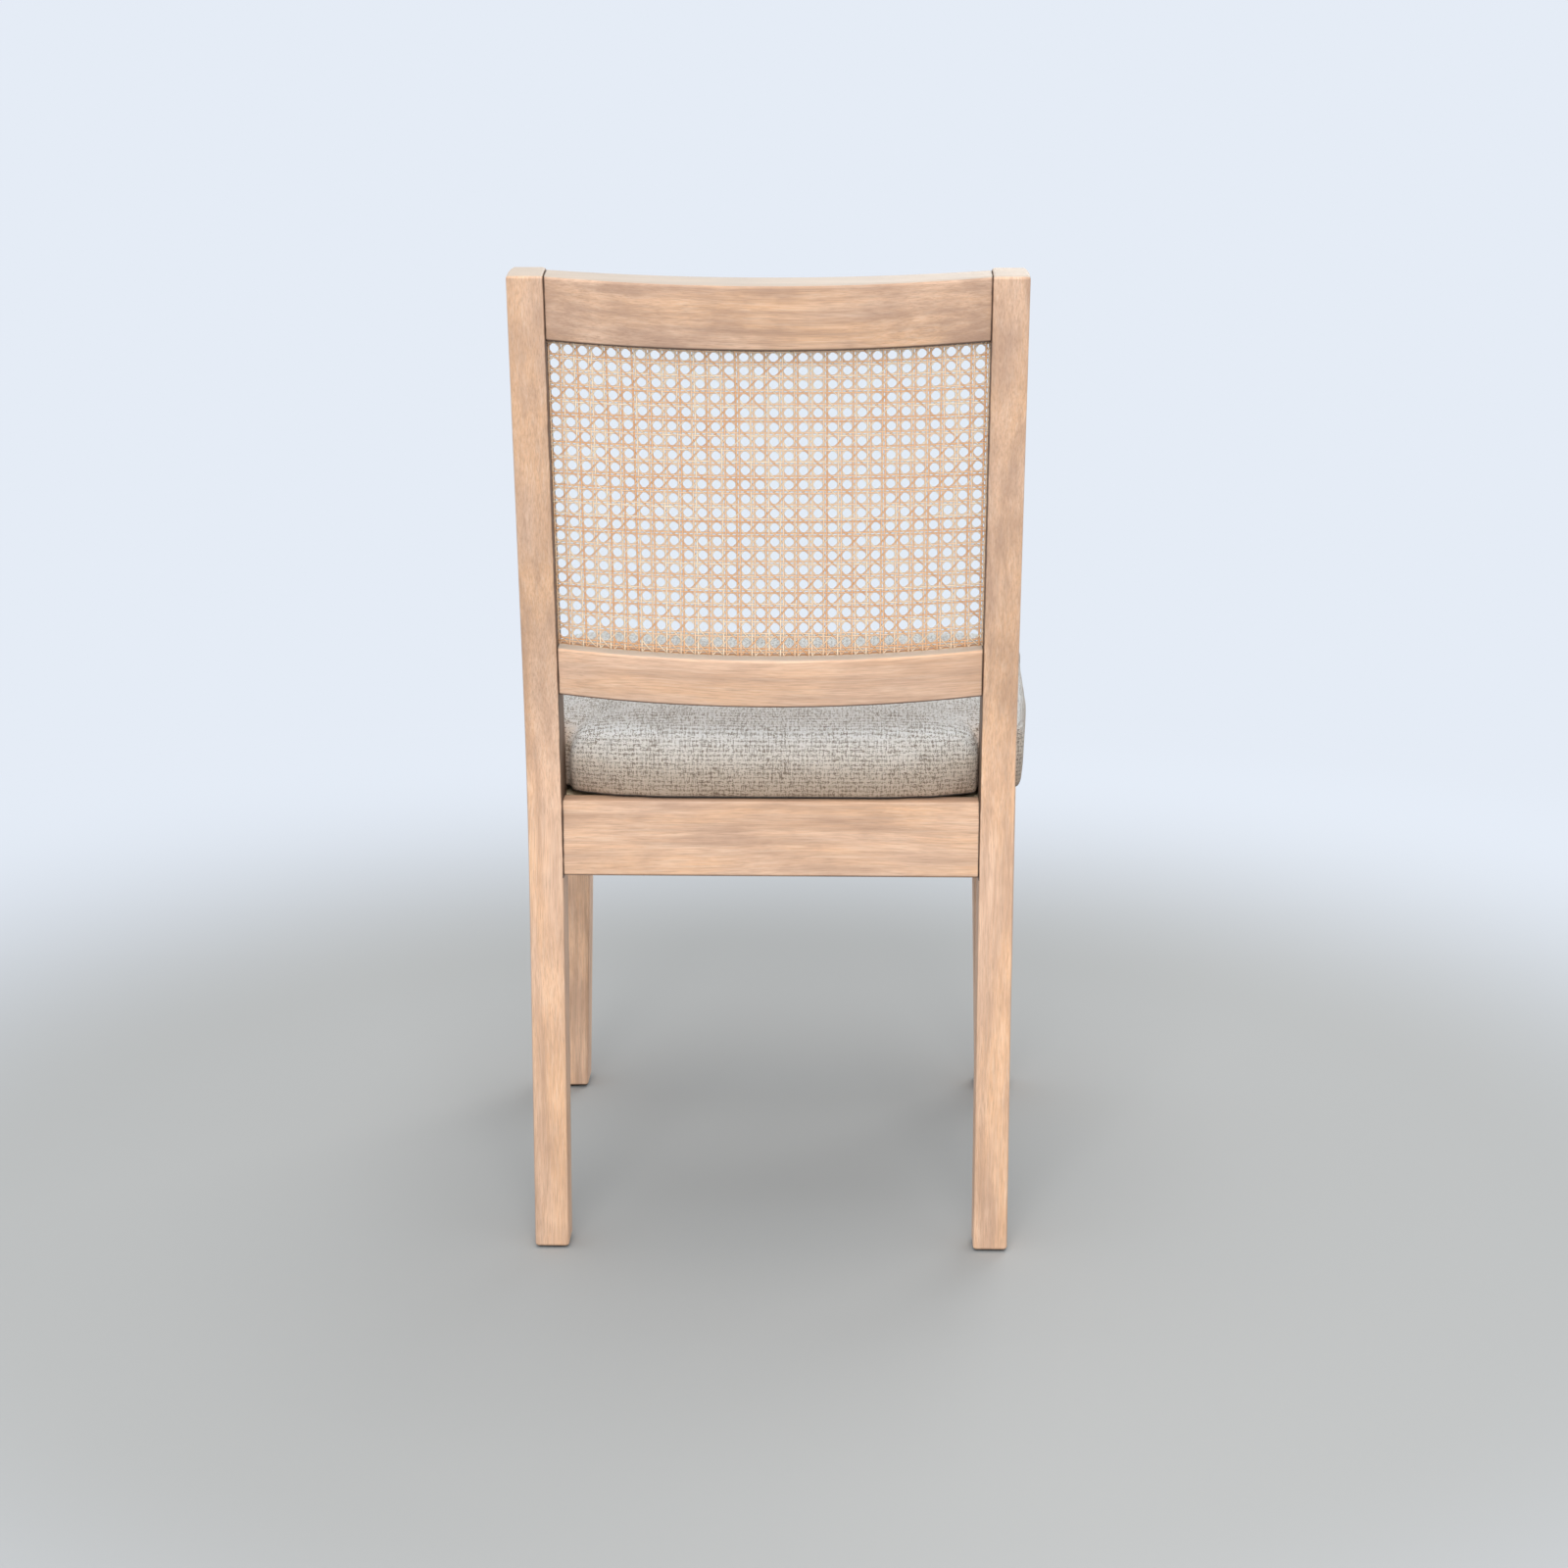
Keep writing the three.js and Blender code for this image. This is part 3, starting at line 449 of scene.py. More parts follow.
@dataclass(frozen=True)
class Tweed:
    """Loose plain weave of grey-beige yarn with cream and brown slubs, laid out by the cover's UV map."""

    ground: tuple = tint(255, 255, 250)
    cream: tuple = tint(255, 255, 254)
    brown: tuple = tint(161, 151, 140)
    shaded: tuple = tint(240, 225, 210)
    # Painted shade towards the cushion's foot.
    low: tuple = tint(218, 205, 193)
    yarn: float = 0.85 * MM
    rib: float = 4.0 * MM
    slub_pitch: float = 150.0
    cloud_pitch: float = 26.0
    fuzz_pitch: float = 850.0
    sway_pitch: float = 90.0
    sway: Triple = (1.1 * MM, 1.1 * MM, 0)
    warp_seed: float = 3.0
    weft_seed: float = 11.0

    def material(self, name: str, layout: str, foot: float) -> bpy.types.Material:
        """Make the material.

        Args:
            name: Name of the material.
            layout: Name of the UV map, in metres of cloth.
            foot: Height of the cushion's foot, where the cover turns under; a painted shadow line and painted
                shade darken it there.

        Returns:
            The material.
        """
        finish = Finish(name)
        graph = finish.graph
        cloth = graph.sway(graph.take("ShaderNodeUVMap", uv_map=layout), self.sway_pitch, self.sway)
        across, down, _ = graph.split(cloth)
        # The warp's tones differ more than the weft's, and the yarn on top shows most.
        warp = self.yarn_tone(graph, across, down, self.warp_seed) * 1.5 - 0.25
        weft = self.yarn_tone(graph, down, across, self.weft_seed)
        over, hump = self.crossing(graph, across, down)
        tone = graph.choose(over, warp, weft) * 0.55 + (warp + weft) * 0.5 * 0.2 + 0.125
        fuzz = graph.noise(cloth, self.fuzz_pitch, 3, 0.7)
        tone = tone + (fuzz - 0.5) * 1.1 + (graph.noise(cloth, self.cloud_pitch) - 0.5) * 0.3
        for way, depth in ((across, 0.05), (down, 0.09)):
            tone = tone + graph.math("SINE", way * (2 * math.pi / self.rib)) * depth
        colour = graph.mix(graph.remap(tone, 0.5, 0.66), self.ground, self.cream)
        colour = graph.mix(graph.remap(tone, 0.53, 0.29), colour, self.brown)
        up, height = graph.split(finish.normal)[2], graph.split(finish.place)[2]
        colour = graph.mix(graph.remap(up, 0.75, 0.05), colour, self.shaded, "MULTIPLY")
        # Painted shade: the cover darker and browner towards its foot.
        colour = graph.mix(graph.remap(height, foot + 38 * MM, foot + 4 * MM), colour, self.low, "MULTIPLY")
        # Painted shade between the yarns, where the hump is low.
        yarn_gap_shade = graph.remap(hump, 0.0, 0.6, 0.66, 1.0)
        # Painted shadow: a near-black line along the cushion's foot.
        foot_shadow = graph.remap(height, foot + 2.0 * MM, foot + 3.6 * MM, 0.04, 1.0)
        finish.set(Base_Color=graph.scale(colour, yarn_gap_shade * foot_shadow), Roughness=0.95, Specular_IOR_Level=0.15,
                   Sheen_Weight=0.25, Sheen_Roughness=0.5)
        return finish.bump(hump + fuzz * 0.5, 0.6 * MM, 0.8)

    def yarn_tone(self, graph: Graph, side: Term, along: Term, seed: float) -> Term:
        """Tone of the yarns that run along one way, in slubs of 3 to 15 mm.

        Args:
            graph: Graph to add to.
            side: Coordinate that counts the yarns.
            along: Coordinate along them.
            seed: Number that sets this way's yarns apart.

        Returns:
            The tone from 0 to 1.
        """
        row = graph.math("FLOOR", side / self.yarn)
        place = graph.join(row * 3.71, along * self.slub_pitch, seed)
        return graph.remap(graph.noise(place, 1.0, 2, 0.6), 0.28, 0.72)

    def crossing(self, graph: Graph, across: Term, down: Term) -> tuple[Term, Term]:
        """Which yarn lies on top, and how high.

        Args:
            graph: Graph to add to.
            across: Coordinate across the cloth.
            down: Coordinate down the cloth.

        Returns:
            1 where the weft is on top, and the height from 0 to 1.
        """
        humps = [abs(graph.math("SINE", way * (math.pi / self.yarn))) for way in (across, down)]
        rows = [graph.math("FLOOR", way / self.yarn) for way in (across, down)]
        over = graph.math("FLOORED_MODULO", rows[0] + rows[1], 2.0)
        return over, graph.choose(over, *humps)


@dataclass(frozen=True)
class SawnWood:
    """Unfinished wood inside the seat: blocks, plywood and reed."""

    body: tuple
    streak: tuple
    layers: float = 0.0

    def material(self, name: str, grain: Grain) -> bpy.types.Material:
        """Make the material.

        Args:
            name: Name of the material.
            grain: The way its grain runs.

        Returns:
            The material.
        """
        finish = Finish(name)
        graph = finish.graph
        along = graph.stretch(finish.place, (1, 1, 1), (0.3, 0.2, 0.1), grain.value)
        fibre = graph.noise(along, (14, 260, 260), 4, 0.6)
        saw = graph.noise(along, (600, 30, 30), 1, 0.4)
        colour = graph.mix(graph.remap(fibre, 0.35, 0.75), self.body, self.streak)
        if self.layers:
            ply = graph.math("FLOORED_MODULO", graph.split(finish.place)[2] / self.layers, 2.0)
            colour = graph.mix(graph.remap(ply, 0.9, 1.1, 0, 0.35), colour, self.streak)
        finish.set(Base_Color=colour, Roughness=0.75, Specular_IOR_Level=0.25)
        return finish.bump(fibre + saw, 0.3 * MM, 0.5)


@dataclass(frozen=True)
class SpunCloth:
    """Thin black nonwoven cloth with its pressed dots."""

    fibre: tuple = tint(44, 44, 47)
    shade: tuple = tint(26, 26, 28)

    def material(self, name: str) -> bpy.types.Material:
        """Make the material.

        Args:
            name: Name of the material.

        Returns:
            The material.
        """
        finish = Finish(name)
        graph = finish.graph
        inputs = {"Vector": finish.place, "Scale": 700.0, "Randomness": 0.15}
        dots = graph.take("ShaderNodeTexVoronoi", inputs, "Distance")
        pressed = graph.remap(dots, 0.25, 0.4)
        colour = graph.mix(pressed * graph.noise(finish.place, 420.0, 4, 0.7), self.shade, self.fibre)
        finish.set(Base_Color=colour, Roughness=0.9, Specular_IOR_Level=0.2)
        return finish.bump(pressed, 0.2 * MM, 0.6)


@dataclass(frozen=True)
class Nylon:
    """Moulded nylon of the glides, scuffed where it slides."""

    body: tuple = tint(150, 138, 124)
    scuff: tuple = tint(188, 180, 168)

    def material(self, name: str) -> bpy.types.Material:
        """Make the material.

        Args:
            name: Name of the material.

        Returns:
            The material.
        """
        finish = Finish(name)
        graph = finish.graph
        slide = graph.stretch(finish.place, (900, 140, 300), (0, 0, 0), (0, 0, 0.6))
        scratch = graph.noise(slide, 1.0, 3, 0.6)
        colour = graph.mix(graph.remap(scratch, 0.55, 0.7, 0, 0.6), self.body, self.scuff)
        finish.set(Base_Color=colour, Roughness=graph.remap(scratch, 0.3, 0.7, 0.4, 0.6))
        return finish.bump(scratch, 0.1 * MM, 0.4)


@dataclass(frozen=True)
class ZincSteel:
    """Zinc-plated steel of the wood screws."""

    body: tuple = tint(196, 197, 194)
    dull: tuple = tint(158, 156, 147)

    def material(self, name: str) -> bpy.types.Material:
        """Make the material.

        Args:
            name: Name of the material.

        Returns:
            The material.
        """
        finish = Finish(name)
        graph = finish.graph
        bloom = graph.noise(finish.place, 420.0, 3, 0.6)
        colour = graph.mix(graph.remap(bloom, 0.4, 0.7), self.body, self.dull)
        finish.set(Base_Color=colour, Metallic=1.0, Roughness=graph.remap(bloom, 0.3, 0.7, 0.28, 0.5))
        return finish.bump(graph.noise(finish.place, 1500.0), 0.05 * MM, 0.5)


@dataclass(frozen=True)
class BackShape:
    """Shape of the raked back, as the CAD source gives it.

    The sheet's bow eases from each rail's own to that of its middle.
    """

    knee_y: float = FOOT_Y - 437 * math.tan(math.radians(2.35)) * MM
    knee_height: float = 437 * MM
    rake: float = math.radians(9.4)
    half_opening: float = 190.5 * MM
    bottom: float = 143 * MM
    top: float = (143 + 11 * 25.4) * MM
    lower_bow: float = 30 * MM
    crest_bow: float = 34 * MM
    middle_bow: float = 17.8 * MM
    cane_edge: float = -15 * MM
    ease_reach: float = 32 * MM
    ease_power: float = 1.3


def link(name: str, data: bpy.types.ID) -> bpy.types.Object:
    """Link a new object to the scene.

    Args:
        name: Its name.
        data: Its mesh, camera or lamp.

    Returns:
        The object.
    """
    made = bpy.data.objects.new(name, data)
    bpy.context.scene.collection.objects.link(made)
    return made


def plain(mesh: bmesh.types.BMesh, name: str) -> bpy.types.Mesh:
    """Store a mesh under construction under that name, and free it.

    Args:
        mesh: The mesh under construction.
        name: Name of the new mesh.

    Returns:
        The mesh.
    """
    data = bpy.data.meshes.new(name)
    mesh.to_mesh(data)
    mesh.free()
    return data


def as_mesh(source: bpy.types.Object, name: str) -> bpy.types.Object:
    """Turn an object with modifiers into a plain mesh object at the origin, and remove the source.

    Args:
        source: Object to evaluate.
        name: Name of the new object.

    Returns:
        The new object, linked to the scene.
    """
    graph = bpy.context.evaluated_depsgraph_get()
    mesh = bpy.data.meshes.new_from_object(source.evaluated_get(graph), preserve_all_data_layers=True,
                                           depsgraph=graph)
    bpy.data.objects.remove(source)
    mesh.name = name
    return link(name, mesh)


class ShapeTree:
    """A geometry node tree with named inputs, an object to carry it and the plain mesh it makes."""

    def __init__(self, name: str) -> None:
        """Start an empty tree.

        Args:
            name: Name of the tree.
        """
        self.tree = bpy.data.node_groups.new(name, "GeometryNodeTree")
        self.graph = Graph(self.tree)
        self.sockets: dict[str, str] = {}
        for way in ("OUTPUT", "INPUT"):
            self.tree.interface.new_socket("Geometry", in_out=way, socket_type="NodeSocketGeometry")
        self.entry = self.graph.add("NodeGroupInput")
        self.exit = self.graph.add("NodeGroupOutput")

    def given(self, name: str) -> Term:
        """Input of that name, inside the tree."""
        return Term(self.graph, self.entry.outputs[name])

    def number(self, name: str, kind: str = "NodeSocketFloat") -> Term:
        """Add a named input.

        Args:
            name: Name of the input.
            kind: Type of its socket.

        Returns:
            The input, inside the tree.
        """
        made = self.tree.interface.new_socket(name, in_out="INPUT", socket_type=kind)
        self.sockets[name] = made.identifier
        return self.given(name)

    def close(self, geometry: Term, material: bpy.types.Material) -> None:
        """End the tree with real geometry in one material.

        Args:
            geometry: What the tree has made.
            material: Its material.
        """
        real = self.graph.take("GeometryNodeRealizeInstances", {0: geometry})
        dressed = self.graph.take("GeometryNodeSetMaterial", {"Geometry": real, "Material": material})
        self.graph.feed(self.exit.inputs[0], dressed)

    def build(self, name: str, points: list[Triple] | None = None, **values: object) -> bpy.types.Object:
        """Run the tree.

        Args:
            name: Name of the piece.
            points: Places that the tree starts from.
            **values: Inputs by name, with underscores for blanks.

        Returns:
            The piece as a plain mesh.
        """
        mesh = bpy.data.meshes.new(name + ".carrier")
        mesh.from_pydata(points or [], [], [])
        holder = link(mesh.name, mesh)
        modifier = holder.modifiers.new("shape", "NODES")
        modifier.node_group = self.tree
        for key, value in values.items():
            modifier[self.sockets[key.replace("_", " ")]] = value
        return as_mesh(holder, name)


def paint(node: str, material: bpy.types.Material) -> None:
    """Put one material on a CAD node.

    Args:
        node: Name of the node.
        material: Its material.
    """
    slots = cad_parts[node].data.materials
    slots.clear()
    slots.append(material)


class SoftEdges:
    """Rounds the shading of CAD nodes with modifiers, leaving their meshes as they are."""

    def __init__(self) -> None:
        """Make the node tree, which shades a mesh smooth but for edges that turn more than its limit."""
        self.shape = ShapeTree("smooth_edges")
        graph = self.shape.graph
        limit = self.shape.number("Limit")
        inputs = {"Geometry": self.shape.given("Geometry"), "Distance": 0.01 * MM}
        merged = graph.take("GeometryNodeMergeByDistance", inputs)
        soft = graph.take("GeometryNodeSetShadeSmooth", {"Geometry": merged}, domain="FACE")
        inputs = {0: graph.take("GeometryNodeInputMeshEdgeAngle"), 1: limit}
        sharp = graph.take("FunctionNodeCompare", inputs, data_type="FLOAT", operation="GREATER_THAN")
        inputs = {"Geometry": soft, "Selection": sharp, "Shade Smooth": False}
        hard = graph.take("GeometryNodeSetShadeSmooth", inputs, domain="EDGE")
        graph.feed(self.shape.exit.inputs[0], hard)

    def apply(self, node: str, below: float) -> None:
        """Round one node's shading.

        Args:
            node: Name of the node.
            below: Edges that turn less than this are shaded smooth, in radians.
        """
        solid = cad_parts[node]
        modifier = solid.modifiers.new("smooth", "NODES")
        modifier.node_group = self.shape.tree
        modifier[self.shape.sockets["Limit"]] = below
        solid.modifiers.new("weighted", "WEIGHTED_NORMAL").keep_sharp = True


@dataclass
class WoodFrame:
    """The show-wood members: CAD solids with smoothed edges and a grain of their own."""

    wood: WhitewashedWood = field(default_factory=WhitewashedWood)
    shape: BackShape = field(default_factory=BackShape)
    smooth_below: float = math.radians(40)
    front_joint: float = 203.0 * MM
    no_joint: float = 1.0
    rail_foot: float = 359 * MM
    crest_bend: float = 0.6

    def members(self) -> list[Member]:
        """List the members, with the wash uneven from one to the next as in the photograph, and with gains
        that partly stand in as painted light on members the lamps leave too dark.

        Returns:
            The members and their looks.
        """
        back, front, free, foot = self.shape.half_opening, self.front_joint, self.no_joint, self.rail_foot
        crest, lower = self.crest_bend * self.shape.crest_bow, self.shape.lower_bow
        return [
            Member("rear_post_left", Grain.UPRIGHT, 0.1, 0.1, back, foot, gain=1.05),
            Member("rear_post_right", Grain.UPRIGHT, 0.15, 0.1, back, foot, gain=1.08),
            Member("front_leg_left", Grain.UPRIGHT, 0.3, 0.12, front, foot, gain=1.15),
            Member("front_leg_right", Grain.UPRIGHT, 0.25, 0.12, front, foot, gain=1.14),
            Member("side_seat_rail_left", Grain.DEEP, 0.2, 0.14, free),
            Member("side_seat_rail_right", Grain.DEEP, 0.15, 0.14, free),
            Member("rear_seat_rail", Grain.ACROSS, 0.2, 0.16, back, gain=0.99),
            Member("front_seat_rail", Grain.ACROSS, 0.2, 0.16, front),
            Member("crest_rail", Grain.ACROSS, 0.6, 0.24, back, bow=crest, gain=1.03),
            Member("lower_back_rail", Grain.ACROSS, 0.05, 0.05, back, bow=lower, gain=1.18),
        ]

    def dress(self, edges: SoftEdges) -> None:
        """Give every member its material and its smooth rounded edges.

        Args:
            edges: What rounds the shading.
        """
        for seed, member in enumerate(self.members(), 1):
            paint(member.node, self.wood.material(member, seed))
            edges.apply(member.node, self.smooth_below)
            log.info("%s: whitewashed wood, grain %s", member.node, member.grain.name.lower())


class Run(Enum):
    """The way a set of cane strands runs.

    Each has the step in cells from a strand to the next, the way along a strand, and its points in each cell.
    """

    UPRIGHT = ((1, 0), (0, 1), 6)
    LEVEL = ((0, 1), (1, 0), 6)
    RISING = ((0, 1), (1, 1), 8)
    FALLING = ((0, 1), (1, -1), 8)

    def __init__(self, beside: tuple[int, int], along: tuple[int, int], fineness: int) -> None:
        """Name the values."""
        self.beside, self.along, self.fineness = beside, along, fineness

    @property
    def sides(self) -> tuple[float, ...]:
        """-1 and 1 for the two strands of a pair, 0 for a single one."""
        return (-1.0, 1.0) if self in (Run.UPRIGHT, Run.LEVEL) else (0.0,)


@dataclass
class CanePanel:
    """Machine-woven cane sheet: upright pairs, level pairs and two sets of diagonals, bowed into the back.

    Half the space in a pair, and the pitch of the wavering, are counted in cells of the weave.
    """

    shape: BackShape = field(default_factory=BackShape)
    across: float = 12.65 * MM
    up: float = 13.0 * MM
    columns: int = 30
    rows: int = 21
    left_edge: float = 191.1 * MM
    first_row: float = 147.6 * MM
    tuck: float = 6 * MM
    pair_width: float = 1.75 * MM
    single_width: float = 1.3 * MM
    thickness: float = 0.62 * MM
    corners: int = 6
    pair: float = 0.108
    lift: float = 0.36 * MM
    cross: float = 0.68 * MM
    crossing_slope: float = 1.9
    waver: float = 0.1 * MM
    waver_pitch: float = 0.35
    tone: str = "strand_tone"
    side: str = "strand_side"

    def build(self) -> None:
        """Weave the four sets of strands, which together stand for the CAD's net."""
        material = SplitCane().material("split_cane", self.tone, self.side)
        shape, tuck = self.shape, self.tuck
        low, high = ((v - self.first_row) / self.up for v in (shape.bottom - tuck, shape.top + tuck))
        reach = shape.half_opening + tuck
        left, right = ((self.left_edge - x) / self.across for x in (reach, -reach))
        wide, tall, slanting = self.columns + 3, self.rows + 3, self.columns + self.rows + 4
        sets = (
            ("cane_uprights", Run.UPRIGHT, (0, math.floor(low)), self.columns + 1, tall),
            ("cane_levels", Run.LEVEL, (math.floor(left), 0), self.rows + 1, wide),
            ("cane_rising", Run.RISING, (-1, -1.5 - self.columns), slanting, wide),
            ("cane_falling", Run.FALLING, (-1, 0.5), slanting, wide),
        )
        for seed, (name, run, start, lines, cells) in enumerate(sets):
            strands = len(run.sides)
            piece = self.tree(name, run, material, seed).build(
                name, Start=(*start, 0), Line_Step=(*run.beside, 0),
                Point_Step=(*(cell / run.fineness for cell in run.along), 0),
                Lines=lines, Points=cells * run.fineness, Low=low, High=high, Left=left, Right=right,
                Width=self.pair_width if strands == 2 else self.single_width, Thickness=self.thickness)
            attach(piece, BODY)
            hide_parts("cane_panel")
            log.info("%s: %d strands, %d faces", name, lines * strands, len(piece.data.polygons))

    def tree(self, name: str, run: Run, material: bpy.types.Material, seed: int) -> ShapeTree:
        """Node tree of one set of strands. It counts in cells of the weave, then lays them in the back.

        Args:
            name: Name of the tree.
            run: The way they run.
            material: Material of the strands.
            seed: Seed of the strands' tones and wavering.

        Returns:
            The tree, with its inputs still to be set.
        """
        made = ShapeTree(name)
        graph = made.graph
        start, line_step, point_step = (made.number(key, "NodeSocketVector")
                                        for key in ("Start", "Line Step", "Point Step"))
        lines, points = (made.number(key, "NodeSocketInt") for key in ("Lines", "Points"))
        window = [made.number(key) for key in ("Low", "High", "Left", "Right")]
        size = graph.join(made.number("Width"), made.number("Thickness"), 1.0)
        strip = graph.take("GeometryNodeMeshLine", {"Count": points, "Offset": point_step}, mode="OFFSET")
        strip = graph.take("GeometryNodeMeshToCurve", {"Mesh": strip})
        gathered = graph.add("GeometryNodeJoinGeometry")
        for side in run.sides:
            aside = (side * self.pair, 0, 0) if run is Run.UPRIGHT else (0, side * self.pair, 0)
            along = graph.scale(line_step, graph.take("GeometryNodeInputIndex"))
            place = graph.vector("ADD", graph.vector("ADD", start, aside), along)
            dots = graph.take("GeometryNodePoints", {"Count": lines, "Position": place})
            spread = graph.take("GeometryNodeInstanceOnPoints", {"Points": dots, "Instance": strip})
            dice = {"Seed": int(97 * seed + 10 * side + 31)}
            chance = graph.take("FunctionNodeRandomValue", dice, 1, data_type="FLOAT")
            toned = graph.store(spread, self.tone, chance, "INSTANCE")
            strands = self.trim(graph, graph.take("GeometryNodeRealizeInstances", {0: toned}), window)
            graph.feed(gathered.inputs[0], self.lay(graph, strands, run, side, seed))
        curves = graph.take("GeometryNodeSetCurveNormal", {0: Term(graph, gathered.outputs[0])}, mode="Z_UP")
        inputs = {"Resolution": self.corners, "Radius": 0.5}
        ring = graph.take("GeometryNodeCurvePrimitiveCircle", inputs, mode="RADIUS")
        across = graph.split(graph.take("GeometryNodeInputPosition"))[0]
        ring = graph.store(ring, self.side, abs(across) * 2.0, "POINT")
        ribbon = graph.take("GeometryNodeTransform", {"Geometry": ring, "Scale": size})
        inputs = {"Curve": curves, "Profile Curve": ribbon, "Fill Caps": True}
        mesh = graph.take("GeometryNodeCurveToMesh", inputs)
        moved = graph.take("GeometryNodeTransform", {
            "Geometry": graph.take("GeometryNodeSetShadeSmooth", {"Geometry": mesh}),
            "Translation": (0.0, self.shape.knee_y, self.shape.knee_height),
            "Rotation": (math.pi / 2 - self.shape.rake, 0.0, 0.0),
        })
        made.close(moved, material)
        return made

    def trim(self, graph: Graph, curves: Term, window: list[Term]) -> Term:
        """Cut the strands off inside the grooves.

        Args:
            graph: Graph to add to.
            curves: The strands, counted in cells.
            window: Lowest and highest row kept, then the first and last column.

        Returns:
            The strands that remain.
        """
        low, high, left, right = window
        column, row, _ = graph.split(graph.take("GeometryNodeInputPosition"))
        outside = graph.math("LESS_THAN", column, left)
        for test, value, limit in (("GREATER_THAN", column, right), ("LESS_THAN", row, low),
                                   ("GREATER_THAN", row, high)):
            outside = graph.math("MAXIMUM", outside, graph.math(test, value, limit))
        inputs = {"Geometry": curves, "Selection": outside}
        return graph.take("GeometryNodeDeleteGeometry", inputs, domain="POINT")

    def lay(self, graph: Graph, curves: Term, run: Run, side: float, seed: int) -> Term:
        """Move strands from cells to metres, over and under each other and out along the bow.

        Args:
            graph: Graph to add to.
            curves: The strands, counted in cells.
            run: The way they run.
            side: -1 or 1 for the two of a pair, 0 for a single one.
            seed: Seed of the wavering.

        Returns:
            The strands as x, v and -n.
        """
        place = graph.take("GeometryNodeInputPosition")
        column, row, _ = graph.split(place)
        if side:
            upright = run is Run.UPRIGHT
            phase = (row if upright else column) * math.pi
            near = graph.math("COSINE", phase) ** 2.0
            height = graph.math("SINE", phase * 4.0) * near * ((side if upright else -side) * self.lift)
        else:
            wave = graph.math("COSINE", column * (2 * math.pi)) * self.crossing_slope
            held = graph.math("MAXIMUM", graph.math("MINIMUM", wave, 1.0), -1.0)
            height = held * (self.cross if run is Run.RISING else -self.cross)
        apart = graph.vector("ADD", place, (7.3 * seed, 3.1 * side, 0))
        drift = graph.split(graph.noise(apart, self.waver_pitch, output="Color"))
        x_waver, v_waver = ((share - 0.5) * (4 * self.waver) for share in drift[:2])
        x = self.left_edge - column * self.across
        v = row * self.up + self.first_row
        laid = graph.join(x + x_waver, v + v_waver, (self.depth(graph, x, v) + height) * -1.0)
        return graph.take("GeometryNodeSetPosition", {"Geometry": curves, "Position": laid})

    def depth(self, graph: Graph, x: Term, v: Term) -> Term:
        """Depth of the bowed sheet, as the CAD's net has it.

        Args:
            graph: Graph to add to.
            x: Place across.
            v: Place up the posts.

        Returns:
            The place n.
        """
        shape = self.shape
        sag = shape.middle_bow
        for bow, away in ((shape.crest_bow, shape.top - v), (shape.lower_bow, v - shape.bottom)):
            reach = graph.math("MAXIMUM", away, 0.0) / shape.ease_reach
            ease = graph.math("EXPONENT", reach ** shape.ease_power * -1.0)
            sag = ease * (bow - shape.middle_bow) + sag
        share = graph.math("MINIMUM", abs(x) / shape.half_opening, 1.0)
        return sag * (1.0 - share ** 2.0) + shape.cane_edge


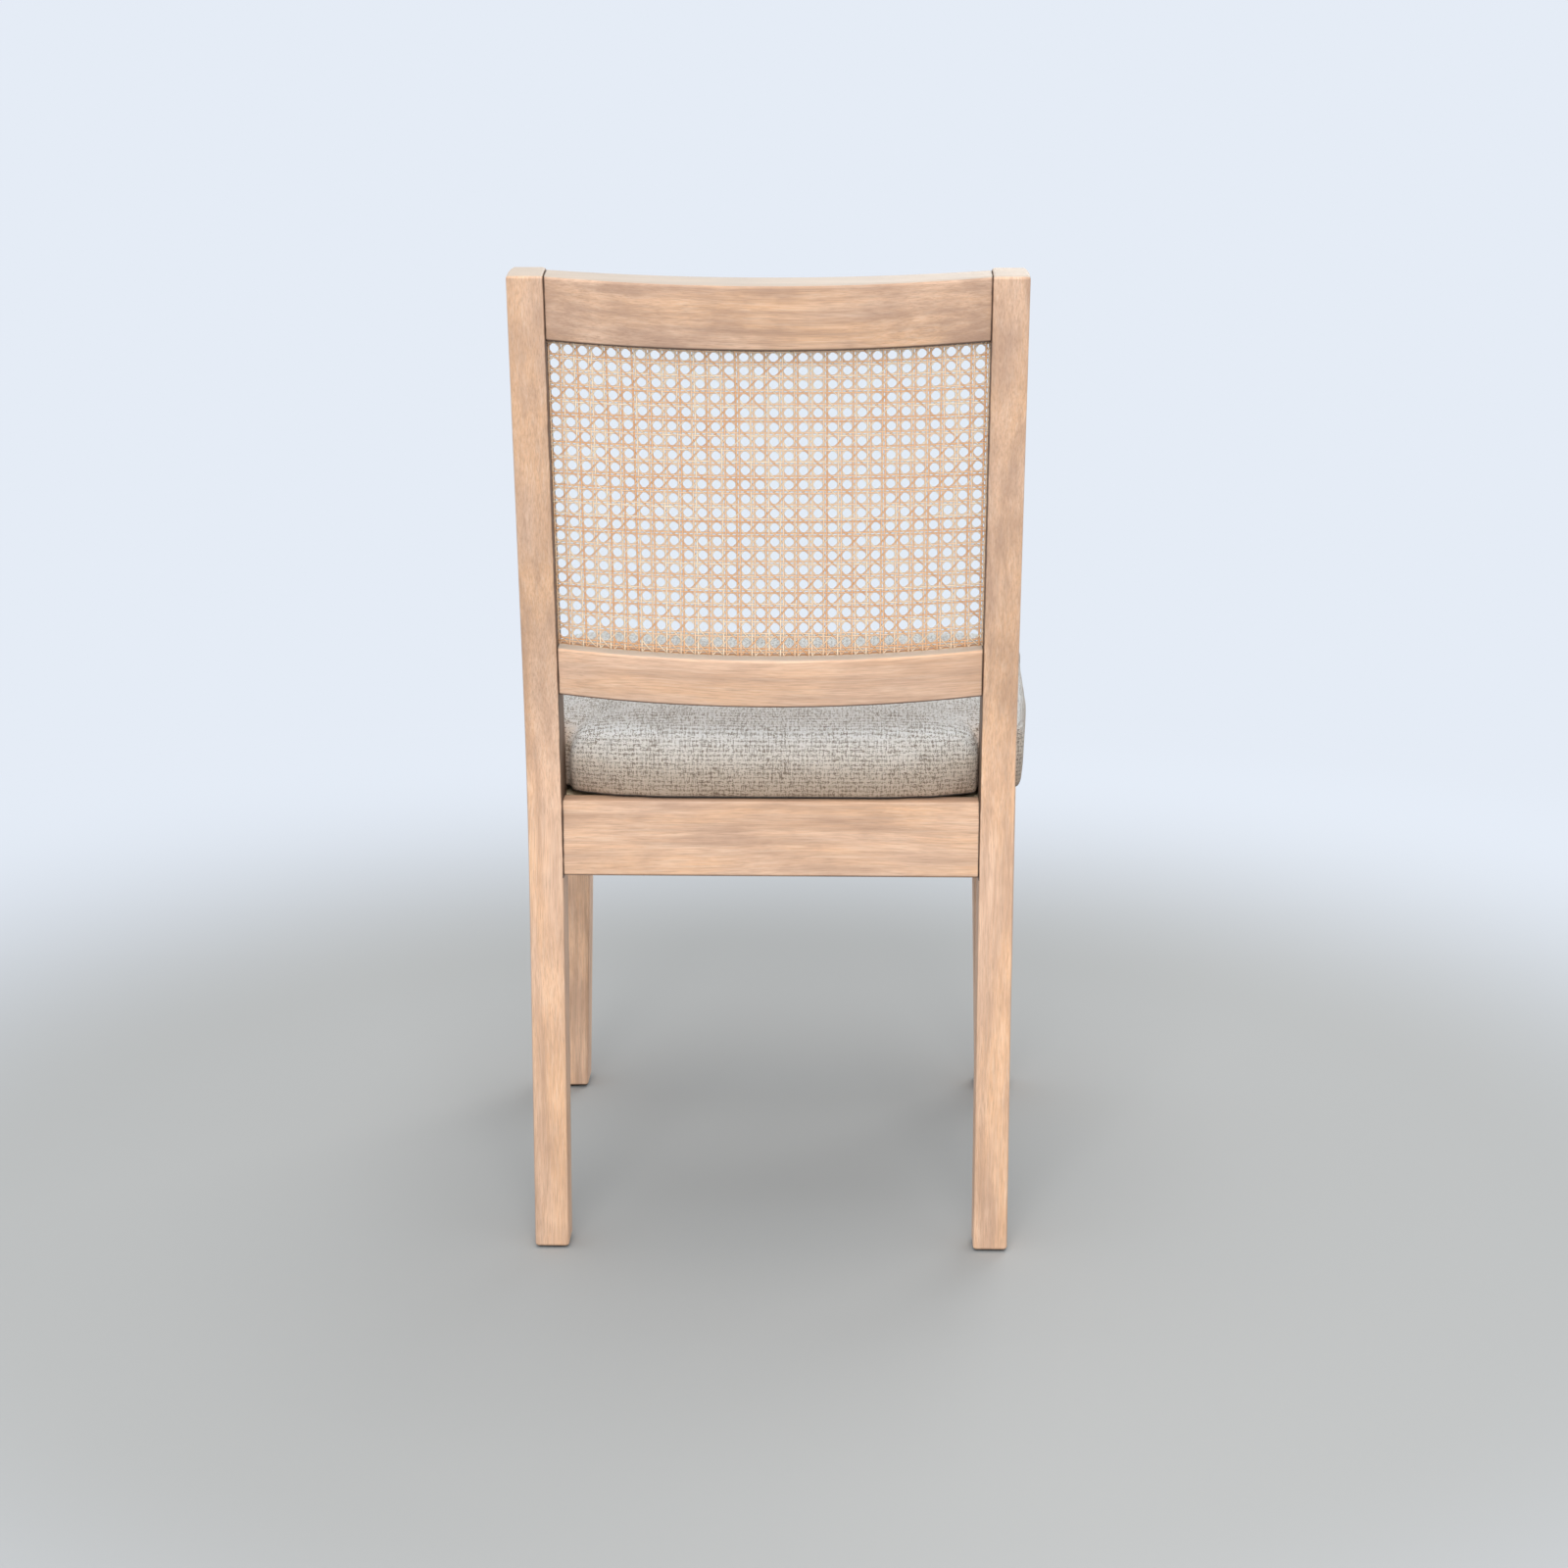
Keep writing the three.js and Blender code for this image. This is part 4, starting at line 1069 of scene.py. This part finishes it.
@dataclass
class SeatCushion:
    """Foam seat in its tweed cover: lofted, blown up as cloth, and laid out for its weave.

    The tongue is the part of the cushion that reaches back between the rear posts. The depths of the tongue,
    the posts' front and the rear rail are measured from foot_y, the back of the rear posts' feet.
    """

    shape: BackShape = field(default_factory=BackShape)
    foot_y: float = FOOT_Y
    front_y: float = FOOT_Y - 484 * MM
    base: float = 433.2 * MM
    height: float = 70.5 * MM
    shoulder: float = 67.5 * MM
    centre_y: float = FOOT_Y - 265 * MM
    crown: tuple[float, ...] = (0.85, 0.68, 0.5, 0.3, 0.12)
    full_from: float = 6 * MM
    full_over: float = 30 * MM
    tongue_depth: float = 60 * MM
    shrink: float = 0.5 * MM
    voxel: float = 5 * MM
    pressure: float = 4.0
    frames: int = 20
    held_height: float = 4 * MM
    swell: float = 6 * MM
    give: float = 0.25
    aside: float = -2.5 * MM
    post_depth: float = 61.2 * MM
    post_lean: float = 0.12
    post_gap: float = 1 * MM
    tongue_half: float = 189.6 * MM
    rail_depth: float = 18 * MM
    flat_up: float = 0.62
    flat_down: float = -0.8
    seam: tuple[float, float] = (-187 * MM, 137 * MM)
    layout: str = "cover"

    def plan(self, full: float) -> list[Triple]:
        """Half of the seat's outline from the front to the tongue's end, at its foot or where it is fullest.

        Args:
            full: 0 at the foot, 1 where the cushion is fullest.

        Returns:
            x, y and corner radius in mm.
        """
        foot = self.foot_y / MM
        return [(252, self.front_y / MM - 4, 44), (244, foot - 215, 300), (232.5, foot - 63.5, 9),
                (190, foot - 62, 5), (189.5 - 1.5 * (1 - full), foot - 42 + 11 * full, 7),
                (150, foot - 26 + 3 * full, 60), (100, foot - 19, 200)]

    def outline(self, full: float = 1.0, count: int = 480) -> np.ndarray:
        """Even points on the rounded outline.

        Args:
            full: 0 at the foot, 1 where the cushion is fullest.
            count: Number of points.

        Returns:
            An array of x and y in metres, counterclockwise from above.
        """
        half = self.plan(full)
        turns = half + [(-x, y, r) for x, y, r in reversed(half)]
        dense: list[tuple[float, float]] = []
        for index, (x, y, radius) in enumerate(turns):
            here = Vector((x, y))
            back = (Vector(turns[index - 1][:2]) - here).normalized()
            ahead = (Vector(turns[(index + 1) % len(turns)][:2]) - here).normalized()
            half_angle = back.angle(ahead) / 2
            reach = radius / math.tan(half_angle)
            first, last = here + back * reach, here + ahead * reach
            centre = here + (back + ahead).normalized() * (radius / math.sin(half_angle))
            for share in np.linspace(0, 1, 13):
                spoke = (first - centre).lerp(last - centre, share).normalized() * radius
                dense.append(tuple(centre + spoke))
        loop = np.array(dense + dense[:1])
        length = np.concatenate([[0], np.cumsum(np.linalg.norm(np.diff(loop, axis=0), axis=1))])
        even = np.linspace(0, length[-1], count, endpoint=False)
        return np.stack([np.interp(even, length, loop[:, 0]), np.interp(even, length, loop[:, 1])], 1) * MM

    def levels(self) -> list[Triple]:
        """How far the tongue and the sides are drawn in at each height, from the foot up, in mm."""
        return [(30, 30, 0.0), (3.5, 6, 0.0), (2.2, 5.5, 1.5), (1.4, 5, 4), (0.8, 4.5, 8), (0.3, 4, 14),
                (0, 2.5, 26), (1.2, 1, 36), (4, 0, 45), (8, 0, 52), (13.5, 1.5, 58), (21, 6, 63),
                (31, 16, 66), (45, 36, self.shoulder / MM)]

    def form(self) -> bpy.types.Object:
        """Loft the starting shape, a little smaller than the finished cushion.

        Returns:
            A closed mesh object.
        """
        centre = np.array([0.0, self.centre_y])
        rings = []
        for at_tongue, at_side, rise in self.levels():
            rim = self.outline(min(max((rise * MM - self.full_from) / self.full_over, 0.0), 1.0))
            reach = np.linalg.norm(rim - centre, axis=1)[:, None]
            drawn_in = np.where(rim[:, 1:] > self.foot_y - self.tongue_depth, at_tongue, at_side) * MM
            ring = centre + (rim - centre) * (1 - (drawn_in + self.shrink) / reach)
            rings.append((ring, self.base + rise * MM))
        top = rings[-1][0]
        for share in self.crown:
            rise = self.shoulder + (self.height - self.shoulder) * (1 - share * share)
            rings.append((centre + (top - centre) * share, self.base + rise))
        mesh = bmesh.new()
        loops = [[mesh.verts.new((x, y, z)) for x, y in points] for points, z in rings]
        for lower, upper in zip(loops, loops[1:]):
            for i in range(len(lower)):
                j = (i + 1) % len(lower)
                mesh.faces.new((lower[i], lower[j], upper[j], upper[i]))
        mesh.faces.new(list(reversed(loops[0])))
        mesh.faces.new(loops[-1])
        return link("cushion_form", plain(mesh, "cushion_form"))

    def blow_up(self, skin: bpy.types.Object) -> bpy.types.Object:
        """Swell the skin as pressurised cloth held at its foot, and cap the swelling.

        Args:
            skin: The evenly meshed starting shape.

        Returns:
            The swollen mesh object.
        """
        start = np.array([v.co for v in skin.data.vertices])
        outward = np.array([v.normal for v in skin.data.vertices])
        held = skin.vertex_groups.new(name="held")
        held.add([int(i) for i in np.flatnonzero(start[:, 2] < self.base + self.held_height)], 1.0, "REPLACE")
        cloth = skin.modifiers.new("cloth", "CLOTH")
        settings = cloth.settings
        settings.quality = 5
        settings.mass = 0.3
        settings.tension_stiffness = settings.compression_stiffness = 12
        settings.shear_stiffness = 5
        settings.bending_stiffness = 0.6
        settings.use_pressure = True
        settings.uniform_pressure_force = self.pressure
        settings.effector_weights.gravity = 0
        settings.vertex_group_mass = "held"
        cloth.point_cache.frame_start, cloth.point_cache.frame_end = 1, self.frames
        for step in range(1, self.frames + 1):
            bpy.context.scene.frame_set(step)
        swollen = as_mesh(skin, "seat_cushion_cover")
        bpy.context.scene.frame_set(1)
        # What moved inward is mostly undone, and no point moves further than the swell.
        moved = np.array([v.co for v in swollen.data.vertices]) - start
        inward = np.minimum((moved * outward).sum(1), 0)[:, None]
        moved -= outward * inward * (1 - self.give)
        length = np.linalg.norm(moved, axis=1)[:, None]
        moved *= self.swell * np.tanh(length / self.swell) / np.maximum(length, 1e-9)
        swollen.data.vertices.foreach_set("co", (start + moved).astype(np.float32).ravel())
        return swollen

    def keep_clear(self, points: np.ndarray) -> np.ndarray:
        """Hold the cushion off the posts, the rail and the board.

        Args:
            points: Places of its vertices.

        Returns:
            The places, moved where they came too near.
        """
        x, y, z = points.T
        lean = np.maximum(z - self.shape.knee_height, 0) * self.post_lean
        post_front = self.foot_y - self.post_depth + lean
        x = np.where(y > post_front - 3 * self.post_gap, np.clip(x, -self.tongue_half, self.tongue_half), x)
        last = post_front - self.post_gap
        y = np.where((np.abs(x) > self.tongue_half + 0.4 * MM) & (y > last), last, y)
        return np.stack([x, np.minimum(y, self.foot_y - self.rail_depth), np.maximum(z, self.base)], 1)

    def cover_map(self, cushion: bpy.types.Object) -> None:
        """Lay the cloth's threads out: flat over the crown, and upright along the outline on the sides.

        Args:
            cushion: The finished mesh.
        """
        rim = self.outline(1.0, 2000)
        run = np.roll(rim, -1, axis=0) - rim
        arc = np.concatenate([[0], np.cumsum(np.linalg.norm(run, axis=1))])
        tangent = run / np.linalg.norm(run, axis=1)[:, None]
        lookup = kdtree.KDTree(len(rim))
        for index, (x, y) in enumerate(rim):
            lookup.insert((x, y, 0), index)
        lookup.balance()
        mesh = cushion.data
        points = np.array([v.co for v in mesh.vertices])
        near = np.array([lookup.find((x, y, 0))[1] for x, y in points[:, :2]])
        along = arc[near] + ((points[:, :2] - rim[near]) * tangent[near]).sum(1)
        # The map starts at the middle of the rear, and its seam hides beside a post.
        rear = arc[int(np.argmax(rim[:, 1] - np.abs(rim[:, 0])))]
        hidden = arc[int(np.argmin(np.abs(rim - np.array(self.seam)).sum(1)))]
        turn = np.where(along > hidden, along - arc[-1], along)
        side = np.stack([rear - turn, rim[near][:, 1].max() + self.base + self.shoulder - points[:, 2]], 1)
        corners = np.array([loop.vertex_index for loop in mesh.loops])
        sizes = [f.loop_total for f in mesh.polygons]
        first = np.repeat([f.loop_start for f in mesh.polygons], sizes)
        flat = [f.normal.z > self.flat_up or f.normal.z < self.flat_down for f in mesh.polygons]
        laid = side[corners]
        laid[:, 0] -= np.round((laid[:, 0] - laid[first, 0]) / arc[-1]) * arc[-1]
        laid = np.where(np.repeat(flat, sizes)[:, None], points[corners][:, :2], laid)
        layer = mesh.uv_layers.new(name=self.layout)
        layer.data.foreach_set("uv", laid.astype(np.float32).ravel())

    def build(self) -> None:
        """Make the cushion and fit it in the seat."""
        form = self.form()
        even = form.modifiers.new("even", "REMESH")
        even.mode = "VOXEL"
        even.voxel_size = self.voxel
        cushion = as_mesh(form, "cushion_skin")
        cushion = self.blow_up(cushion)
        points = np.array([v.co for v in cushion.data.vertices]) + (self.aside, 0, 0)
        cushion.data.vertices.foreach_set("co", self.keep_clear(points).astype(np.float32).ravel())
        finer = cushion.modifiers.new("finer", "SUBSURF")
        finer.levels = finer.render_levels = 1
        cushion = as_mesh(cushion, "seat_cushion_cover")
        cushion.data.shade_smooth()
        self.cover_map(cushion)
        cushion.data.materials.append(Tweed().material("tweed", self.layout, self.base))
        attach(cushion, BODY)
        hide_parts("seat_cushion")
        log.info("seat_cushion_cover: %d faces", len(cushion.data.polygons))


@dataclass
class SeatBase:
    """What carries the cushion: the board, its dust cloth, the corner blocks, the reeds and the glides."""

    plywood: SawnWood = SawnWood(tint(214, 184, 142), tint(186, 150, 106), 1.5 * MM)
    # The blocks' raw wood is painted paler, partly as painted light where their tops show in shade under the
    # cushion.
    block: SawnWood = SawnWood(tint(240, 224, 192), tint(224, 198, 156))
    reed: SawnWood = SawnWood(tint(224, 190, 150), tint(196, 156, 114))
    smooth_below: float = math.radians(30)

    def dress(self, edges: SoftEdges) -> None:
        """Give the CAD solids of the seat base and the reeds their finishes.

        Args:
            edges: What rounds the shading.
        """
        reed_across = self.reed.material("reed_across", Grain.ACROSS)
        reed_up = self.reed.material("reed_up", Grain.UPRIGHT)
        by_prefix = {
            "seat_board": self.plywood.material("plywood", Grain.ACROSS),
            "corner_block": self.block.material("corner_blocks", Grain.ACROSS),
            "dust_cloth": SpunCloth().material("dust_cloth"),
            "glide": Nylon().material("nylon"),
            "cane_spline_top": reed_across,
            "cane_spline_bottom": reed_across,
            "cane_spline_left": reed_up,
            "cane_spline_right": reed_up,
        }
        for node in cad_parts:
            for prefix, material in by_prefix.items():
                if node.startswith(prefix):
                    paint(node, material)
                    edges.apply(node, self.smooth_below)
                    log.info("%s: %s", node, material.name)


class Drive(Enum):
    """The way a set of screws is driven: the turn that brings +Z to it, its axis's index, and its sign."""

    UP = ((0.0, 0.0, 0.0), 2, 1)
    BACK = ((-math.pi / 2, 0.0, 0.0), 1, 1)
    FRONT = ((math.pi / 2, 0.0, 0.0), 1, -1)
    LEFT = ((0.0, math.pi / 2, 0.0), 0, 1)
    RIGHT = ((0.0, -math.pi / 2, 0.0), 0, -1)

    def __init__(self, turn: Triple, axis: int, sign: int) -> None:
        """Name the values."""
        self.turn, self.axis, self.sign = turn, axis, sign


@dataclass
class WoodScrews:
    """Pan-head wood screws with a cross recess, one set for each way they are driven."""

    head_radius: float = 4.5 * MM
    head_height: float = 2.6 * MM
    rim: float = 0.3 * MM
    shank_radius: float = 2.1 * MM
    point: float = 4 * MM
    recess_depth: float = 1.5 * MM
    sides: int = 24

    def nodes(self) -> dict[Drive, list[str]]:
        """CAD nodes of the screws by the way they are driven.

        Returns:
            The names, in the order of the ways.
        """
        names: dict[Drive, list[str]] = {way: [] for way in Drive}
        for end, across in (("rear", Drive.BACK), ("front", Drive.FRONT)):
            for side, outward in (("left", Drive.LEFT), ("right", Drive.RIGHT)):
                names[Drive.UP].append(f"seat_screw_{end}_{side}")
                names[across].append(f"block_screw_{end}_{side}_cross")
                names[outward].append(f"block_screw_{end}_{side}_side")
        return names

    def screw(self, length: float) -> bpy.types.Object:
        """One screw along +Z with its head's underside at the origin.

        Args:
            length: Length under the head.

        Returns:
            The screw, as an object to be instanced.
        """
        profile = [(0.0, self.recess_depth - self.head_height)]
        profile += [(self.head_radius * math.sin(a), -self.head_height * (0.45 + 0.55 * math.cos(a)))
                    for a in np.linspace(0.75, math.pi / 2, 5)]
        profile += [(self.head_radius, -self.rim), (self.head_radius - self.rim, 0.0)]
        profile += [(self.shank_radius, 0.0), (self.shank_radius, length - self.point), (0.0, length)]
        mesh = bmesh.new()
        rings = []
        for radius, z in profile:
            turns = [2 * math.pi * k / self.sides for k in range(self.sides if radius else 1)]
            rings.append([mesh.verts.new((radius * math.cos(a), radius * math.sin(a), z)) for a in turns])
        for lower, upper in zip(rings, rings[1:]):
            for k in range(self.sides):
                j = (k + 1) % self.sides
                square = [ring[i % len(ring)] for ring, i in ((lower, k), (lower, j), (upper, j), (upper, k))]
                mesh.faces.new(list(dict.fromkeys(square)))
        # The recess is a cross: its ring is pushed in along four arms.
        quarter = self.sides // 4
        for k, vertex in enumerate(rings[1]):
            if k % quarter in (0, 1, quarter - 1):
                vertex.co.z += self.recess_depth * 0.2
        bmesh.ops.recalc_face_normals(mesh, faces=mesh.faces)
        return bpy.data.objects.new("screw_pattern", plain(mesh, "screw_pattern"))

    def tree(self, pattern: bpy.types.Object, way: Drive, material: bpy.types.Material) -> ShapeTree:
        """Node tree that sets screws on the carrier's points.

        Args:
            pattern: The screw to repeat.
            way: The way they are driven.
            material: Their material.

        Returns:
            The tree.
        """
        made = ShapeTree(f"screws_{way.name.lower()}")
        graph = made.graph
        size = made.number("Size")
        source = graph.take("GeometryNodeObjectInfo", {"Object": pattern}, "Geometry")
        spin = graph.take("FunctionNodeRandomValue", {"Seed": 5}, 1, data_type="FLOAT")
        spread = graph.take("GeometryNodeInstanceOnPoints", {
            "Points": made.given("Geometry"), "Instance": source, "Rotation": way.turn, "Scale": size})
        turned = graph.take("GeometryNodeRotateInstances", {
            "Instances": spread, "Rotation": graph.join(z=spin * math.pi), "Local Space": True})
        made.close(turned, material)
        return made

    def build(self) -> None:
        """Replace the CAD screws, set by set."""
        material = ZincSteel().material("zinc_steel")
        for way, names in self.nodes().items():
            boxes = [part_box(name) for name in names]
            length = (boxes[0][1] - boxes[0][0])[way.axis] - self.head_height
            seats = []
            for low, high in boxes:
                seat = (low + high) / 2
                seat[way.axis] = (low if way.sign > 0 else high)[way.axis] + way.sign * self.head_height
                seats.append(tuple(seat))
            pattern = self.screw(length)
            piece = self.tree(pattern, way, material).build(f"screws_{way.name.lower()}", seats, Size=1.0)
            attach(piece, BODY)
            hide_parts(*names)
            bpy.data.objects.remove(pattern)
            log.info("%s: %d screws", piece.name, len(names))


@dataclass(frozen=True)
class Lamp:
    """A round soft lamp: where it hangs, what it lights, and its width and power in watts."""

    name: str
    place: Triple
    aim: Triple
    size: float
    power: float


@dataclass
class Studio:
    """Camera at the photograph's place, a plain pale floor and soft lamps.

    The focal length was fitted as 2,900 pixels of the photograph's width of 1,600.
    """

    sensor: float = 36.0
    focal: float = 36.0 * 2900 / 1600
    station: Triple = (-0.0683, 2.6949, 1.0712)
    yaw: float = math.radians(1.28)
    pitch: float = math.radians(13.9)
    sight: float = 60.0
    floor_radius: float = 30.0
    fade_from: float = 0.75
    fade_to: float = 2.1
    backdrop: tuple = tint(229, 236, 246)
    floor: tuple = tint(178, 179, 178)
    sky: tuple = (0.94, 0.97, 1.0, 1)
    sky_strength: float = 0.62
    lights: tuple[Lamp, ...] = (
        Lamp("lamp_back", (0.1, 3.4, 2.45), (-0.1, 0.1, 0.6), 2.4, 82.0),
        Lamp("lamp_front", (-1.2, -2.8, 2.7), (0, 0, 0.5), 2.4, 40.0),
        Lamp("lamp_top", (0.0, 0.3, 3.2), (0, 0, 0.4), 2.2, 24.0),
    )

    def camera(self) -> None:
        """Set the camera up."""
        data = bpy.data.cameras.new("camera")
        data.lens, data.sensor_width, data.clip_end = self.focal, self.sensor, self.sight
        right = Vector((-math.cos(self.yaw), -math.sin(self.yaw), 0))
        level = Vector((math.sin(self.yaw), -math.cos(self.yaw), 0))
        ahead = level * math.cos(self.pitch) - Vector((0, 0, math.sin(self.pitch)))
        axes = Matrix((right, right.cross(ahead), -ahead)).transposed()
        made = link("camera", data)
        made.matrix_world = Matrix.Translation(self.station) @ axes.to_4x4()
        bpy.context.scene.camera = made

    def ground(self) -> None:
        """Lay a round pale floor that fades into the backdrop's colour away from the chair."""
        bpy.ops.mesh.primitive_circle_add(vertices=96, radius=self.floor_radius, fill_type="NGON")
        floor = bpy.context.active_object
        floor.name = "floor"
        finish = Finish("floor")
        graph = finish.graph
        far = graph.take("ShaderNodeVectorMath", {0: finish.place}, "Value", operation="LENGTH")
        fade = graph.remap(far, self.fade_from, self.fade_to, ease="SMOOTHSTEP")
        colour = graph.mix(fade, self.floor, self.backdrop)
        finish.set(Base_Color=colour, Roughness=0.8, Specular_IOR_Level=0.2)
        seen = fade * graph.take("ShaderNodeLightPath", output="Is Camera Ray")
        glow = graph.take("ShaderNodeEmission", {"Color": self.backdrop, "Strength": 1.0})
        blend = graph.take("ShaderNodeMixShader", {0: seen, 1: finish.surface, 2: glow})
        graph.feed(finish.output.inputs["Surface"], blend)
        floor.data.materials.append(finish.material)

    def lamps(self) -> None:
        """Hang the soft lamps under an even sky."""
        world = bpy.data.worlds.new("studio")
        world.use_nodes = True
        world.node_tree.nodes.clear()
        graph = Graph(world.node_tree)
        camera, glossy, through = (graph.take("ShaderNodeLightPath", output=f"Is {ray} Ray")
                                   for ray in ("Camera", "Glossy", "Transmission"))
        eye = graph.math("MAXIMUM", camera, graph.math("MAXIMUM", glossy, through))
        light = graph.take("ShaderNodeBackground", {"Color": self.sky, "Strength": self.sky_strength})
        seen = graph.take("ShaderNodeBackground", {"Color": self.backdrop, "Strength": 1.0})
        both = graph.take("ShaderNodeMixShader", {0: eye, 1: light, 2: seen})
        graph.add("ShaderNodeOutputWorld", {"Surface": both})
        bpy.context.scene.world = world
        for lamp in self.lights:
            data = bpy.data.lights.new(lamp.name, "AREA")
            data.shape, data.size, data.energy = "DISK", lamp.size, lamp.power
            hung = link(lamp.name, data)
            hung.location = lamp.place
            hung.rotation_euler = (Vector(lamp.aim) - Vector(lamp.place)).to_track_quat("-Z", "Y").to_euler()

    def build(self) -> None:
        """Set up the whole studio."""
        self.camera()
        self.ground()
        self.lamps()
        bpy.context.scene.view_settings.view_transform = "Standard"
        log.info("studio: camera %.1f mm, floor and %d lamps", self.focal, len(self.lights))


def corners(box: tuple[Vector, Vector]) -> list[list[float]]:
    """Plain lists of a box's two corners."""
    return [list(box[0]), list(box[1])]


def main() -> None:
    """Build every part of the chair's looks in order."""
    logging.basicConfig(level=logging.INFO, format="%(name)s: %(message)s")
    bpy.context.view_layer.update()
    Studio().build()
    edges = SoftEdges()
    WoodFrame().dress(edges)
    SeatBase().dress(edges)
    CanePanel().build()
    SeatCushion().build()
    WoodScrews().build()


if __name__ == "__main__":
    main()
